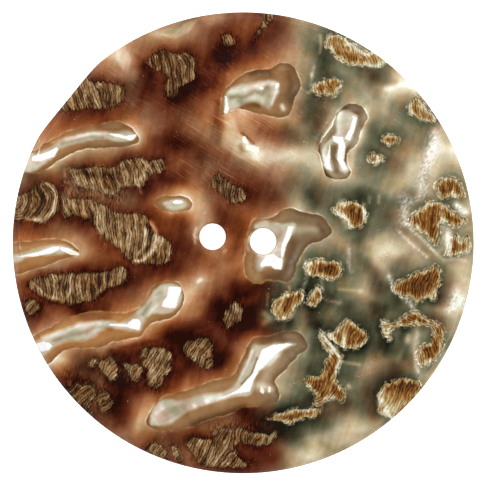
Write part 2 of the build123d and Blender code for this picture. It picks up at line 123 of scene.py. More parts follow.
# ---- Lie of the shell: (strength, reach in mm, points along the middle) ----
# Tan and cream ridges, where grinding came near to the mother-of-pearl.
RIDGES = [
    (0.10, 0.9, [(-8.4, 3.6), (-7.6, 4.0)]),
    (0.10, 0.9, [(-10.4, -5.2), (-9.4, -4.8)]),
    (0.12, 0.9, [(0.2, -7.6), (-0.2, -8.6)]),
    (0.10, 0.9, [(-1.8, 16.0), (-0.8, 15.6)]),
    (0.10, 0.9, [(11.6, 13.8), (12.4, 14.4)]),
    (0.08, 0.9, [(8.6, 0.8), (9.4, 0.4)]),
    (0.08, 0.9, [(11.0, 0.2), (12.0, 0.8)]),
    (0.12, 0.9, [(-14.4, 12.9), (-11.6, 14.2), (-8.6, 16.2), (-6.0, 17.2)]),
    (0.16, 0.9, [(-12.0, 12.8), (-10.6, 13.2)]),
    (0.14, 0.6, [(-8.4, 16.3), (-7.6, 15.8)]),
    (0.22, 0.8, [(-12.2, 14.6), (-11.4, 14.4)]),
    (0.18, 0.7, [(-4.6, 18.1), (-3.6, 18.3)]),
    (0.16, 0.8, [(-8.9, 14.4), (-8.6, 13.6)]),
    (0.12, 0.8, [(2.0, 16.9), (4.6, 17.0)]),
    (0.10, 1.2, [(-18.2, 9.0), (-16.0, 9.8)]),
    (0.30, 0.7, [(-16.6, 5.0), (-15.8, 5.6), (-15.0, 6.0)]),
    (0.14, 0.6, [(-15.0, 6.0), (-13.0, 6.4), (-11.0, 6.8)]),
    (0.26, 0.7, [(-10.4, 8.8), (-9.3, 8.0), (-9.4, 7.4)]),
    (0.22, 0.9, [(-5.2, 3.8), (-4.0, 3.6), (-3.6, 2.2), (-3.9, 0.9)]),
    (0.08, 0.8, [(-12.3, 5.0), (-12.0, 3.0), (-10.0, 1.0)]),
    (0.22, 0.6, [(-17.8, -4.0), (-15.4, -3.4), (-13.2, -2.4)]),
    (0.18, 0.8, [(-3.2, -3.2), (-4.0, -4.2), (-4.6, -4.8)]),
    (0.18, 0.9, [(-4.6, -6.4), (-6.6, -6.9), (-8.2, -8.8), (-10.6, -9.2)]),
    (0.16, 1.0, [(-16.0, -9.6), (-14.6, -11.2)]),
    (0.12, 0.9, [(-12.5, -13.8), (-11.5, -14.2)]),
    (0.16, 0.8, [(-6.9, -13.2), (-6.6, -14.4), (-7.3, -15.9)]),
    (0.10, 1.0, [(-8.5, -17.0), (-4.0, -18.4), (-1.0, -18.6)]),
    (0.16, 0.8, [(-1.7, 10.4), (-1.4, 8.8), (-1.0, 7.8), (0.2, 7.3)]),
    (0.12, 0.8, [(2.0, 7.9), (4.6, 7.2)]),
    (0.10, 0.9, [(0.0, 18.2), (0.6, 17.4)]),
    (0.12, 0.8, [(-8.8, 4.8), (-6.0, 5.6)]),
    (0.12, 0.9, [(-2.8, 5.4), (-1.0, 3.0), (-1.4, 1.8)]),
    (0.10, 0.9, [(0.8, 7.6), (1.2, 8.6)]),
    (0.12, 0.9, [(8.6, 14.6), (7.4, 15.8)]),
    (0.12, 0.9, [(13.6, 5.0), (14.6, 5.2)]),
    (0.08, 0.9, [(6.2, 7.4), (8.6, 5.4)]),
    (0.08, 0.9, [(12.4, -9.8), (11.4, -11.2)]),
    (0.12, 0.6, [(-10.5, -12.6), (-10.0, -13.2)]),
    (0.06, 0.7, [(11.8, 9.2), (12.4, 8.6)]),
    (0.05, 0.5, [(12.4, 13.9), (11.4, 13.8), (10.6, 13.4), (10.4, 12.6), (10.6, 11.8)]),
    (0.12, 0.6, [(-0.6, 10.6), (0.0, 9.8)]),
    (0.16, 0.8, [(0.8, 7.6), (3.0, 7.4)]),
    (0.12, 0.8, [(4.4, 11.6), (5.8, 11.6)]),
    (0.12, 0.6, [(2.6, 12.2), (3.8, 12.2)]),
    (0.12, 0.4, [(6.4, 11.2), (6.3, 10.0)]),
    (0.08, 0.7, [(10.8, 14.8), (10.4, 14.0)]),
    (0.14, 0.8, [(9.3, 9.4), (9.4, 8.0)]),
    (0.06, 0.8, [(4.9, 7.2), (6.0, 6.2), (7.0, 5.2), (7.6, 4.8)]),
    (0.16, 0.6, [(-3.0, -5.4), (-3.6, -6.2)]),
    (0.10, 0.7, [(5.2, -6.2), (5.4, -6.6)]),
    (0.12, 0.8, [(-16.0, -8.0), (-14.4, -6.8)]),
    (0.10, 0.8, [(-17.6, -0.4), (-16.0, -0.4)]),
    # Pales the right rim as a painted highlight, and lifts the face there a little.
    (0.20, 1.0, [(18.4, -0.4), (18.0, -5.2)]),
    (0.20, 0.8, [(-15.5, -10.1), (-15.0, -10.6)]),
    (0.22, 0.8, [(14.8, -6.6), (15.2, -8.0)]),
    (0.34, 0.8, [(11.6, 15.2), (12.8, 14.6), (14.4, 13.4)]),
    (0.20, 1.0, [(11.0, 13.2), (12.6, 13.8)]),
    (0.14, 0.8, [(13.4, 8.6), (13.3, 6.6)]),
    (0.26, 0.7, [(15.1, 10.8), (15.5, 9.2), (15.4, 7.4), (15.2, 6.2)]),
    (0.24, 1.0, [(16.6, 8.6), (16.2, 7.6)]),
    (0.20, 0.8, [(16.6, 3.0), (16.8, 2.2)]),
    (0.22, 0.7, [(11.6, -0.8), (11.9, -2.8)]),
    (0.18, 0.8, [(13.0, -7.6), (14.0, -8.8)]),
    (0.16, 0.8, [(5.8, -11.4), (6.0, -12.0)]),
    (0.14, 0.8, [(5.4, -17.8), (7.0, -17.4)]),
    (0.10, 0.8, [(-15.0, -0.2), (-13.4, -1.2)]),
    (0.22, 1.0, [(17.2, 9.4), (18.0, 7.6), (18.6, 3.0), (18.6, 1.0)]),
    (0.14, 0.7, [(13.0, 3.6), (14.2, 2.2), (15.8, 0.8), (17.4, 0.1)]),
    (0.14, 0.9, [(11.0, 0.5), (12.4, 0.6)]),
    (0.16, 0.9, [(14.6, -0.4), (15.4, -0.6)]),
    (0.24, 0.8, [(17.4, -7.4), (17.0, -9.4), (16.2, -10.8)]),
    (0.12, 0.7, [(8.8, -2.6), (10.2, -3.0)]),
    (0.10, 0.6, [(2.7, -5.2), (2.6, -5.8)]),
    (0.16, 0.8, [(9.0, -8.9), (11.0, -8.9)]),
    (0.12, 0.7, [(9.6, -10.9), (9.9, -11.6)]),
    (0.14, 0.9, [(12.4, -13.6), (9.6, -14.3), (7.4, -15.4)]),
    (0.10, 0.9, [(5.4, -17.4), (7.4, -16.6)]),
    (0.10, 1.0, [(7.4, 13.4), (7.0, 16.0)]),
    (0.10, 0.8, [(15.4, -9.0), (15.6, -9.8)]),
]
# Dark dips, where the layers lie deeper.
DIPS = [
    (0.12, 0.9, [(-5.0, -8.6), (-4.6, -9.4)]),
    (0.10, 0.9, [(-5.4, -7.8), (-4.6, -8.2)]),
    (0.08, 0.9, [(9.4, 4.8), (10.6, 4.4)]),
    (0.10, 0.9, [(9.2, -2.8), (9.9, -3.3)]),
    (0.06, 0.9, [(-7.2, 9.4), (-6.6, 8.6)]),
    (0.10, 0.9, [(-5.2, 10.4), (-3.6, 10.0), (-2.9, 9.4)]),
    (0.12, 0.9, [(-7.6, 7.6), (-5.0, 7.8)]),
    (0.12, 0.9, [(3.0, 8.8), (4.8, 8.8)]),
    (0.12, 0.9, [(0.8, 4.2), (2.0, 4.4)]),
    (0.12, 0.9, [(4.6, 6.4), (5.4, 5.4), (5.0, 4.4)]),
    (0.12, 0.8, [(-7.4, 1.6), (-5.4, 1.4), (-4.4, 1.0)]),
    (0.10, 0.8, [(-11.6, 7.0), (-10.8, 6.6)]),
    (0.10, 0.8, [(-18.2, 5.0), (-17.8, 4.6)]),
    (0.10, 0.8, [(-17.6, -3.8), (-15.2, -3.6)]),
    (0.06, 1.0, [(-12.4, -11.8), (-10.6, -12.6), (-9.0, -12.4)]),
    (0.10, 0.9, [(-4.4, -16.2), (-2.6, -16.2)]),
    (0.10, 0.9, [(2.0, -13.2), (5.0, -13.8)]),
    (0.10, 0.9, [(-0.8, -1.4), (1.2, -2.6)]),
    (0.12, 0.9, [(12.0, -0.4), (12.0, -3.0)]),
    (0.12, 0.9, [(7.4, -6.2), (8.6, -7.4), (9.6, -6.4)]),
    (0.12, 0.9, [(15.4, 8.4), (15.8, 7.8)]),
    (0.08, 0.9, [(-1.2, -9.4), (0.0, -9.6)]),
    (0.18, 0.8, [(-6.4, 17.8), (-5.8, 18.0)]),
    (0.14, 0.8, [(0.8, 9.4), (2.0, 8.6)]),
    (0.12, 0.7, [(5.2, 7.4), (6.0, 5.6), (7.6, 5.0), (9.6, 4.2)]),
    (0.18, 0.7, [(12.8, 5.2), (13.2, 4.8)]),
    (0.16, 0.7, [(15.7, -2.9), (16.0, -3.3)]),
    (0.16, 0.8, [(9.3, -8.2), (9.2, -8.9)]),
    (0.05, 0.8, [(-7.4, -8.7), (-6.6, -8.6)]),
    (0.10, 0.5, [(-8.7, -10.2), (-7.9, -9.9)]),
    (0.06, 0.7, [(-1.4, -6.8), (0.0, -7.6)]),
    (0.12, 0.8, [(4.6, -13.4), (5.2, -13.6)]),
    (0.10, 0.7, [(-4.2, 6.4), (-3.8, 6.0)]),
    (0.25, 1.0, [(4.4, 11.6), (4.6, 10.4), (5.2, 9.4)]),
    (0.18, 0.8, [(2.6, 9.4), (3.6, 8.4)]),
    (0.14, 0.7, [(5.6, 11.2), (5.5, 9.8)]),
    (0.16, 0.9, [(1.0, 17.2), (3.2, 17.0)]),
    (0.16, 0.9, [(-3.0, 12.6), (-2.8, 11.2)]),
    (0.09, 0.9, [(5.2, 15.4), (6.4, 15.2)]),
    (0.14, 0.8, [(-12.0, 8.9), (-10.8, 9.2)]),
    (0.14, 0.8, [(-13.8, -2.7), (-13.0, -3.0)]),
    (0.18, 0.8, [(1.6, -2.9), (3.2, -3.2)]),
    (0.14, 0.9, [(12.2, -7.6), (11.6, -7.8)]),
    (0.16, 0.8, [(10.8, -5.6), (11.2, -6.0)]),
    (0.16, 0.8, [(6.6, -14.4), (8.0, -14.2)]),
    (0.14, 0.8, [(2.4, -17.6), (3.4, -17.2)]),
    (0.14, 0.8, [(9.8, 12.8), (10.6, 12.9)]),
    (0.26, 1.1, [(2.8, 3.6), (3.8, 5.2), (5.0, 4.4)]),
    (0.26, 1.1, [(-1.6, 1.7), (-0.4, 0.8), (0.1, -0.3)]),
    (0.24, 1.0, [(0.0, -3.8), (2.0, -3.9), (2.0, -4.8), (1.4, -6.4), (3.2, -6.9), (4.4, -6.8)]),
    (0.14, 0.9, [(-4.9, 1.2), (-5.0, -0.6), (-2.8, -2.0)]),
    (0.12, 0.8, [(-2.0, -5.2), (-4.0, -6.0)]),
    (0.18, 1.1, [(-6.2, 8.7), (-4.4, 7.4)]),
    (0.20, 0.9, [(-9.4, 13.4), (-9.2, 11.2)]),
    (0.20, 1.0, [(-6.4, 11.6), (-4.4, 12.6), (-3.6, 14.2)]),
    (0.24, 0.9, [(-3.2, 15.2), (-0.9, 15.8)]),
    (0.08, 0.9, [(-15.0, 8.9), (-12.6, 9.1)]),
    (0.10, 0.9, [(0.6, 9.9), (2.0, 9.9)]),
    (0.16, 0.6, [(-3.2, 10.8), (-3.0, 8.6)]),
    (0.16, 0.9, [(4.4, 16.2), (5.4, 15.4)]),
    (0.18, 0.9, [(8.4, 14.7), (11.2, 14.5)]),
    (0.20, 0.8, [(9.7, 10.6), (9.4, 8.8)]),
    (0.12, 0.9, [(-17.4, -0.5), (-15.4, -0.2), (-13.4, 0.3)]),
    (0.16, 0.9, [(-10.8, -5.6), (-8.8, -4.3), (-6.6, -2.9), (-5.2, -2.6)]),
    (0.10, 0.8, [(-18.2, 4.6), (-17.6, 4.4)]),
    (0.16, 0.8, [(-16.4, -7.8), (-15.4, -7.0), (-13.6, -6.4)]),
    (0.26, 0.8, [(-12.8, -7.2), (-11.2, -6.9)]),
    (0.26, 0.9, [(-8.6, 3.4), (-7.0, 4.6), (-5.4, 5.0)]),
    (0.24, 0.9, [(5.6, -3.0), (6.5, -4.9), (6.4, -6.2)]),
    (0.20, 0.8, [(7.4, -3.6), (9.0, -4.4)]),
    (0.14, 1.1, [(-6.0, -7.8), (-3.4, -7.4), (-1.6, -5.6)]),
    (0.22, 0.8, [(0.8, -6.7), (-0.2, -8.4), (-0.9, -9.5)]),
    (0.14, 0.8, [(-3.6, -10.8), (-5.8, -12.2), (-7.4, -12.9)]),
    (0.18, 0.9, [(-8.8, -9.6), (-9.4, -9.9)]),
    (0.06, 0.9, [(-12.8, -11.9), (-13.6, -12.6)]),
    (0.24, 1.0, [(1.6, -13.8), (2.8, -14.8)]),
    (0.20, 1.0, [(-9.2, -12.0), (-8.9, -14.6), (-8.4, -15.4)]),
    (0.16, 0.8, [(11.9, 4.4), (11.8, 2.3)]),
    (0.08, 0.8, [(9.4, 5.2), (11.0, 5.0)]),
    (0.22, 0.7, [(9.6, 0.9), (10.4, -0.9), (11.6, -2.6)]),
    (0.16, 0.8, [(14.4, 10.2), (14.2, 9.4)]),
    (0.20, 0.8, [(12.8, -3.8), (11.4, -4.4)]),
    (0.22, 0.8, [(13.9, -6.4), (13.6, -7.4), (12.4, -7.6)]),
    (0.16, 0.8, [(10.4, -7.8), (9.8, -10.0)]),
    (0.22, 0.9, [(10.8, -11.7), (12.0, -10.9), (13.8, -8.6)]),
    (0.18, 0.7, [(6.8, -8.2), (6.3, -9.6)]),
    (0.10, 0.8, [(5.2, -8.6), (4.9, -9.0)]),
    (0.06, 0.8, [(11.8, -12.8), (9.0, -13.0)]),
    (0.26, 0.8, [(5.9, -12.2), (6.4, -12.4)]),
    (0.24, 0.8, [(4.6, -14.8), (5.8, -15.6)]),
    (0.16, 0.9, [(4.8, -17.8), (6.6, -17.6)]),
    (0.14, 0.9, [(8.2, -16.0), (9.8, -16.6)]),
]
# Glints: painted highlights where light catches flat bright facets of the mother-of-pearl, as closed
# outlines, and their edges' softness.
GLINT_EDGE = 0.14
GLINTS = [
    [(-18.0, 5.55), (-17.4, 5.75), (-16.6, 6.1), (-16.0, 6.5), (-15.8, 6.3), (-16.1, 5.6), (-16.6, 5.4),
     (-17.2, 5.1), (-18.0, 5.1)],
    [(-11.9, 8.0), (-11.0, 8.05), (-10.4, 7.95), (-9.9, 8.05), (-9.55, 8.15), (-9.5, 7.9), (-9.7, 7.6),
     (-10.0, 7.45), (-10.5, 7.6), (-11.2, 7.7), (-11.8, 7.85)],
    [(-18.5, -2.9), (-17.0, -2.75), (-15.6, -2.35), (-15.0, -1.95), (-15.0, -1.6), (-15.5, -1.65),
     (-16.6, -2.2),
     (-18.4, -2.75)],
    [(-15.0, -1.6), (-14.3, -1.7), (-13.4, -2.0), (-13.2, -2.3), (-14.0, -2.3), (-15.0, -2.0)],
    [(-5.8, -4.1), (-5.2, -4.0), (-4.75, -4.05), (-4.65, -4.35), (-4.85, -5.0), (-5.0, -5.9), (-5.5, -6.0),
     (-6.3, -5.85), (-6.15, -5.3), (-5.9, -5.0)],
    [(-8.9, -7.4), (-8.5, -7.0), (-8.1, -6.95), (-7.85, -7.1), (-7.75, -7.4), (-7.85, -8.0), (-8.3, -7.95),
     (-8.9, -7.85)],
    [(-10.4, -7.6), (-9.3, -7.5), (-8.85, -7.45), (-8.85, -7.8), (-10.4, -7.85)],
    [(-16.3, -9.8), (-15.7, -9.5), (-15.1, -9.6), (-14.8, -9.9), (-15.1, -10.3), (-15.8, -10.5)],
    [(2.3, -8.6), (3.2, -8.1), (4.3, -7.85), (5.0, -7.95), (4.4, -8.2), (3.8, -8.7), (3.3, -9.3),
     (2.9, -9.8),
     (2.3, -10.4), (2.0, -11.0), (1.8, -11.7), (1.7, -12.2), (0.9, -12.4), (0.2, -12.6), (-0.5, -12.95),
     (-1.2, -13.0), (-0.3, -12.6), (0.4, -12.2), (0.8, -11.9), (1.2, -11.3), (1.7, -10.7), (1.9, -9.9),
     (2.1, -9.3)],
    [(2.45, -11.6), (2.7, -11.6), (2.9, -12.0), (2.8, -12.3), (2.45, -12.1)],
    [(3.1, -11.5), (3.4, -11.6), (3.4, -12.1), (3.1, -12.1)],
    [(3.55, 1.75), (4.1, 1.8), (3.95, 1.0), (3.6, 0.1), (3.45, -0.7), (3.4, -1.0), (3.15, -0.9),
     (3.1, -0.3),
     (3.15, 0.2), (3.35, 0.8)],
    [(1.95, -0.8), (2.6, -0.6), (3.0, -0.9), (3.4, -1.0), (3.4, -1.6), (3.35, -1.95), (2.8, -1.95),
     (2.4, -1.75),
     (2.0, -1.8), (1.6, -1.95), (1.5, -1.6), (1.7, -1.2)],
    [(-6.2, 2.8), (-5.9, 3.05), (-5.3, 3.05), (-5.1, 2.75), (-5.9, 2.6)],
    [(7.9, 11.3), (8.45, 11.2), (8.3, 10.0), (8.0, 9.1), (7.45, 9.3), (7.8, 10.1), (8.0, 11.0)],
    [(6.5, 9.5), (7.4, 9.5), (7.7, 8.7), (7.65, 7.5), (8.05, 6.8), (7.6, 6.6), (7.0, 7.6), (7.05, 8.8),
     (6.6, 9.0)],
    [(6.4, 9.2), (6.5, 8.0), (6.55, 7.2), (6.8, 6.5), (6.2, 6.7), (5.9, 7.4), (6.2, 7.9), (6.3, 8.6)],
    [(-0.6, 8.1), (0.2, 8.1), (0.7, 7.95), (0.65, 7.4), (0.2, 7.4), (-0.6, 7.65)],
    [(-0.85, 8.9), (-0.45, 8.6), (-0.15, 8.1), (-0.6, 8.0), (-0.95, 8.3)],
    [(1.4, 13.35), (1.8, 13.4), (1.8, 13.0), (1.55, 12.7), (1.4, 12.95)],
    [(0.0, 12.95), (0.5, 12.95), (0.55, 12.7), (0.2, 12.6)],
    [(-2.65, 11.95), (-2.4, 11.9), (-2.2, 11.2), (-2.1, 10.8), (-2.3, 10.4), (-2.6, 10.5), (-2.55, 11.2)],
]
# Patches that are paler (above 0) or darker (below 0) than round them: (strength, edge, outline).
PATCHES = [
    (0.09, 0.24, [(-2.6, 10.5), (-2.35, 9.4), (-2.5, 8.6), (-2.55, 7.7), (-1.6, 7.1), (-0.4, 6.8),
                  (0.8, 6.9), (0.4, 7.6), (-0.6, 8.3), (-1.2, 9.2), (-1.6, 10.2), (-2.2, 10.6)]),
    (0.10, 0.20, [(-11.9, 15.2), (-11.3, 15.5), (-10.6, 14.2), (-10.7, 13.2), (-11.3, 13.4),
        (-11.9, 14.2)]),
    (0.12, 0.14, [(-8.4, 16.4), (-7.2, 16.7), (-6.5, 17.5), (-5.2, 18.2), (-6.0, 16.9), (-7.2, 16.2)]),
    (-0.10, 0.30, [(-9.6, -9.5), (-7.4, -8.6), (-6.4, -8.7), (-8.4, -9.6)]),
    (0.10, 0.16, [(-10.6, -9.6), (-9.2, -9.0), (-7.2, -8.0), (-8.2, -9.0), (-9.6, -9.7)]),
]
# Fine folds and lines in and near the windows, partly the shell's own lines and partly painted shade in the
# folds and painted highlights beside them: (strength, half width, points).
FOLDS = [
    (0.12, 0.24, [(-2.3, 12.25), (-1.0, 12.6), (0.3, 13.1), (1.6, 13.3)]),
    (-0.20, 0.20, [(-2.1, 11.85), (-0.9, 12.0), (-0.2, 12.5), (0.4, 12.3), (0.7, 12.9)]),
    (-0.26, 0.30, [(-1.1, 11.45), (0.2, 11.4)]),
    (-0.16, 0.30, [(0.9, 12.9), (1.0, 12.2), (0.8, 11.5)]),
    (0.14, 0.10, [(1.6, 12.7), (1.3, 11.6)]),
    (-0.12, 0.40, [(2.4, 14.5), (2.8, 13.4), (2.7, 12.0)]),
    (0.40, 0.20, [(2.2, 11.5), (2.3, 11.3)]),
    # Painted shadow beside the highlight above it.
    (-0.30, 0.10, [(-0.9, 9.0), (-0.3, 8.5), (0.1, 8.2)]),
    (-0.22, 0.20, [(-0.95, 7.9), (-0.75, 7.5)]),
    (0.14, 0.14, [(-16.4, 6.8), (-15.5, 7.2), (-14.3, 7.5), (-12.9, 7.9), (-12.0, 8.0)]),
    (-0.14, 0.13, [(-15.6, 6.75), (-14.5, 7.1), (-13.5, 7.45), (-12.3, 7.6)]),
    (0.12, 0.24, [(-15.7, -9.3), (-14.4, -8.7), (-13.0, -8.1), (-11.2, -7.65)]),
    (-0.14, 0.20, [(-14.8, -9.4), (-13.3, -8.8), (-12.3, -8.5), (-11.4, -7.9), (-10.2, -8.0)]),
    (-0.10, 0.40, [(-6.6, -4.2), (-6.3, -5.2)]),
    (-0.16, 0.14, [(-7.7, -6.6), (-7.4, -6.1), (-7.1, -5.6)]),
    (0.14, 0.12, [(-7.3, -6.7), (-7.0, -6.2), (-6.6, -5.8)]),
    # Painted shade along a fold in the pearl.
    (-0.30, 0.08, [(2.0, -9.4), (1.6, -10.8), (0.9, -11.6)]),
    (-0.06, 0.20, [(1.3, -8.7), (1.1, -9.8), (0.6, -11.2)]),
    (-0.14, 0.45, [(-4.9, -14.4), (-3.6, -14.1)]),
    (0.22, 0.16, [(-2.85, -13.65), (-2.75, -13.7)]),
    (0.22, 0.14, [(-1.85, -13.25), (-1.75, -13.3)]),
    (-0.10, 0.30, [(2.2, 1.7), (3.0, 1.4), (2.9, 0.6)]),
    (-0.10, 0.25, [(1.2, -1.2), (1.3, -2.0)]),
    (-0.12, 0.30, [(6.0, 2.0), (6.4, 1.6)]),
    (-0.10, 0.40, [(4.1, 0.4), (4.0, -1.4), (3.2, -2.4), (2.0, -2.5)]),
    (-0.12, 0.28, [(7.4, 11.7), (8.7, 11.5), (8.8, 10.6)]),
    (-0.10, 0.30, [(7.2, 10.6), (7.3, 9.9)]),
    (0.30, 0.14, [(4.35, 14.3), (4.4, 14.2)]),
    (0.24, 0.12, [(4.6, 13.4), (4.5, 12.9), (4.2, 12.8)]),
    (0.26, 0.10, [(2.4, -4.0), (2.4, -5.0)]),
    (0.22, 0.10, [(5.6, -2.4), (5.3, -3.4)]),
    (0.22, 0.10, [(6.7, -2.5), (6.9, -3.3)]),
    (0.24, 0.28, [(2.3, -5.7), (2.7, -6.0), (2.3, -6.4)]),
    (0.16, 0.16, [(8.2, -3.1), (10.0, -3.1)]),
    (0.20, 0.14, [(9.0, -9.0), (10.4, -9.1)]),
    (0.26, 0.22, [(14.2, -6.4), (14.2, -6.8)]),
    (0.24, 0.14, [(9.7, -10.9), (9.8, -11.1)]),
    (0.24, 0.12, [(4.1, -3.3), (4.2, -3.5)]),
    (0.18, 0.14, [(14.9, -7.7), (15.0, -8.8), (15.3, -9.3)]),
    (0.16, 0.50, [(13.4, 1.4), (13.9, 1.0)]),
    (0.16, 0.12, [(16.0, 0.5), (16.6, 0.1), (17.6, 0.3), (18.4, 0.2)]),
    (0.20, 0.30, [(17.3, 4.7), (18.1, 4.2)]),
    (0.12, 0.40, [(14.8, 10.4), (14.9, 9.4), (14.7, 8.2)]),
    # Painted highlight where light catches the right rim.
    (0.14, 0.40, [(17.7, -2.0), (18.0, -2.8), (17.6, -4.1), (16.6, -4.1)]),
    (0.20, 0.18, [(10.0, 4.7), (10.0, 4.3)]),
    (0.20, 0.12, [(10.8, 4.9), (10.8, 4.3)]),
    (0.28, 0.10, [(-9.0, 3.9), (-8.75, 3.3)]),
    (0.20, 0.10, [(-15.2, 4.6), (-15.1, 4.1)]),
    (0.30, 0.16, [(-3.4, -3.5), (-3.2, -3.3)]),
    (0.18, 0.12, [(0.4, 0.5), (0.3, 0.0), (0.45, -0.6)]),
    (0.18, 0.12, [(-4.0, 0.2), (-3.8, 0.0)]),
    (0.10, 0.35, [(7.0, 8.8), (7.1, 7.2)]),
    (0.14, 0.30, [(9.0, 11.8), (9.0, 10.2), (8.3, 8.6), (8.3, 7.0)]),
    (0.14, 0.40, [(-0.8, 11.5), (0.4, 11.8)]),
    (0.46, 0.18, [(-7.8, 1.0), (-7.3, 0.4), (-7.1, -0.4), (-7.3, -1.2), (-8.0, -2.1), (-8.8, -2.4)]),
    (-0.24, 0.12, [(-8.0, 0.7), (-7.6, 0.0), (-7.6, -0.8), (-8.0, -1.5)]),
    (0.26, 0.12, [(-8.5, 0.9), (-8.1, 0.0), (-8.1, -0.9), (-8.5, -1.6)]),
    (-0.10, 1.40, [(-13.2, -13.4), (-10.6, -13.8)]),
    (-0.07, 0.90, [(-12.0, -11.0), (-9.0, -11.4)]),
    (-0.16, 0.30, [(-6.9, -9.6), (-7.0, -11.6)]),
    (-0.08, 1.20, [(-7.4, 14.2), (-6.6, 13.0)]),
    (0.18, 0.08, [(1.55, -8.8), (1.25, -9.9), (0.7, -11.2)]),
    (-0.12, 0.06, [(1.85, -8.8), (1.6, -9.8)]),
    (0.16, 0.50, [(3.5, -9.2), (2.9, -10.4), (2.7, -11.3)]),
    (0.34, 0.10, [(-3.95, 0.8), (-4.1, 0.3), (-3.95, -0.4)]),
    (0.22, 0.24, [(10.6, 13.7), (11.4, 13.95), (12.0, 14.3), (12.6, 14.2)]),
    (-0.07, 0.22, [(12.3, 13.4), (11.6, 13.2), (11.3, 12.4)]),
    (0.22, 0.12, [(4.75, 17.6), (4.9, 16.8), (4.85, 16.1)]),
    (0.20, 0.11, [(4.5, 15.0), (4.4, 14.2), (4.35, 13.2)]),
    (0.16, 0.12, [(-18.6, 0.6), (-17.4, 0.3), (-16.4, 0.2)]),
    (-0.14, 0.20, [(-13.6, 5.0), (-13.2, 4.2)]),
    (-0.16, 0.14, [(-11.9, 4.9), (-11.7, 3.6)]),
    (-0.18, 0.12, [(-10.9, -3.8), (-10.9, -4.8), (-11.2, -5.4)]),
    (-0.16, 0.12, [(-14.5, -4.4), (-14.3, -5.6)]),
    (0.20, 0.12, [(-13.9, -4.2), (-13.8, -5.2), (-14.1, -5.9)]),
    (0.22, 0.12, [(-16.9, -4.9), (-16.3, -5.4), (-15.6, -5.9), (-14.6, -6.0)]),
    (-0.14, 0.14, [(-12.6, 1.2), (-12.3, 0.2)]),
    (0.16, 0.12, [(-12.0, 1.4), (-11.6, 0.4), (-11.7, -0.6)]),
    (0.18, 0.12, [(-14.2, 12.0), (-14.0, 11.0), (-14.3, 10.2)]),
    (-0.16, 0.14, [(-12.6, 11.8), (-12.5, 10.6)]),
    (0.22, 0.10, [(-1.35, -0.7), (-1.5, -0.9)]),
    (0.10, 0.90, [(14.4, 3.4), (15.4, 3.8)]),
    (-0.12, 0.50, [(6.2, -1.6), (7.2, -1.4)]),
    (-0.08, 0.90, [(14.6, -2.0), (15.4, -1.8)]),
    (0.26, 0.16, [(-16.8, 3.4), (-16.0, 3.1), (-15.7, 2.3), (-15.8, 1.2), (-16.6, 0.4), (-18.0, 0.3)]),
    (0.26, 0.16, [(-9.0, 6.1), (-8.6, 5.6), (-8.6, 4.9), (-9.0, 4.3)]),
    (0.20, 0.16, [(-14.8, 2.9), (-14.6, 2.0), (-14.9, 1.2)]),
    (0.24, 0.14, [(7.0, -6.7), (7.8, -7.5), (8.6, -8.6), (8.7, -9.6), (8.3, -10.4)]),
    (0.24, 0.10, [(7.2, -7.5), (7.9, -8.4), (8.2, -9.2), (7.6, -10.6)]),
    (0.30, 0.26, [(8.9, -6.4), (9.0, -7.4)]),
    (0.34, 0.30, [(5.5, -1.3), (5.7, -1.8)]),
    (0.28, 0.16, [(6.7, -0.9), (6.8, -2.0)]),
    (0.12, 0.40, [(-6.2, 2.0), (-4.7, 2.6), (-4.9, 3.0)]),
    (0.18, 0.35, [(-14.2, 3.9), (-12.9, 3.9)]),
    (-0.10, 0.40, [(-13.9, 4.7), (-11.4, 4.5)]),
    (-0.14, 0.90, [(-17.2, 2.0), (-16.9, 1.2)]),
    (0.10, 0.70, [(-12.2, 0.0), (-10.6, -0.6), (-9.6, -1.4)]),
    (0.12, 0.50, [(-6.6, -0.8), (-6.2, -1.6)]),
    (-0.12, 0.30, [(-11.9, -3.6), (-11.4, -4.6)]),
    (0.12, 0.40, [(-7.2, -10.0), (-6.6, -11.4)]),
    (0.10, 0.50, [(-10.2, -11.4), (-8.4, -11.6)]),
    (0.20, 0.30, [(12.5, -11.8), (13.1, -12.8)]),
    (0.14, 0.60, [(13.6, -11.6), (14.8, -11.3), (14.4, -12.2)]),
    (0.30, 0.50, [(12.7, -11.4), (13.0, -12.4), (13.8, -12.8)]),
    (-0.10, 0.60, [(13.9, -10.6), (15.0, -10.6)]),
    (0.30, 0.22, [(3.9, -4.0), (3.4, -5.0), (3.9, -6.0)]),
    (0.26, 0.20, [(4.8, -4.2), (4.6, -5.6)]),
    (0.22, 0.24, [(7.3, 3.4), (7.9, 2.9), (8.4, 2.1)]),
    (0.30, 0.24, [(16.8, 1.9), (16.9, 0.7)]),
    (0.26, 0.30, [(13.5, -12.4), (14.4, -11.9)]),
    (0.22, 0.25, [(15.4, -7.8), (15.9, -8.4)]),
    (0.24, 0.26, [(7.7, 4.1), (7.9, 3.2), (8.6, 2.4)]),
    (0.30, 0.18, [(9.6, 4.0), (9.7, 2.9)]),
    (0.26, 0.70, [(6.2, 17.0), (7.8, 16.8), (9.6, 15.8)]),
    (0.16, 0.50, [(5.0, 13.4), (6.4, 13.4)]),
    (0.20, 0.50, [(12.9, 12.6), (14.2, 11.9)]),
    (0.24, 0.30, [(16.9, 2.2), (17.0, 1.0)]),
    (0.26, 0.20, [(17.8, 1.9), (17.9, 0.9)]),
    (0.16, 0.20, [(17.0, 5.4), (16.9, 6.0)]),
    (0.20, 0.30, [(12.2, -5.4), (12.6, -6.3)]),
    (0.20, 0.30, [(7.9, -11.0), (8.4, -12.0)]),
    (0.12, 0.30, [(6.2, -3.3), (6.6, -4.4)]),
    (0.16, 0.16, [(15.9, -1.2), (15.9, -2.8)]),
    (0.26, 0.35, [(2.3, -11.6), (3.4, -11.8)]),
    (-0.14, 0.30, [(6.95, 8.8), (6.95, 7.6), (7.1, 6.6)]),
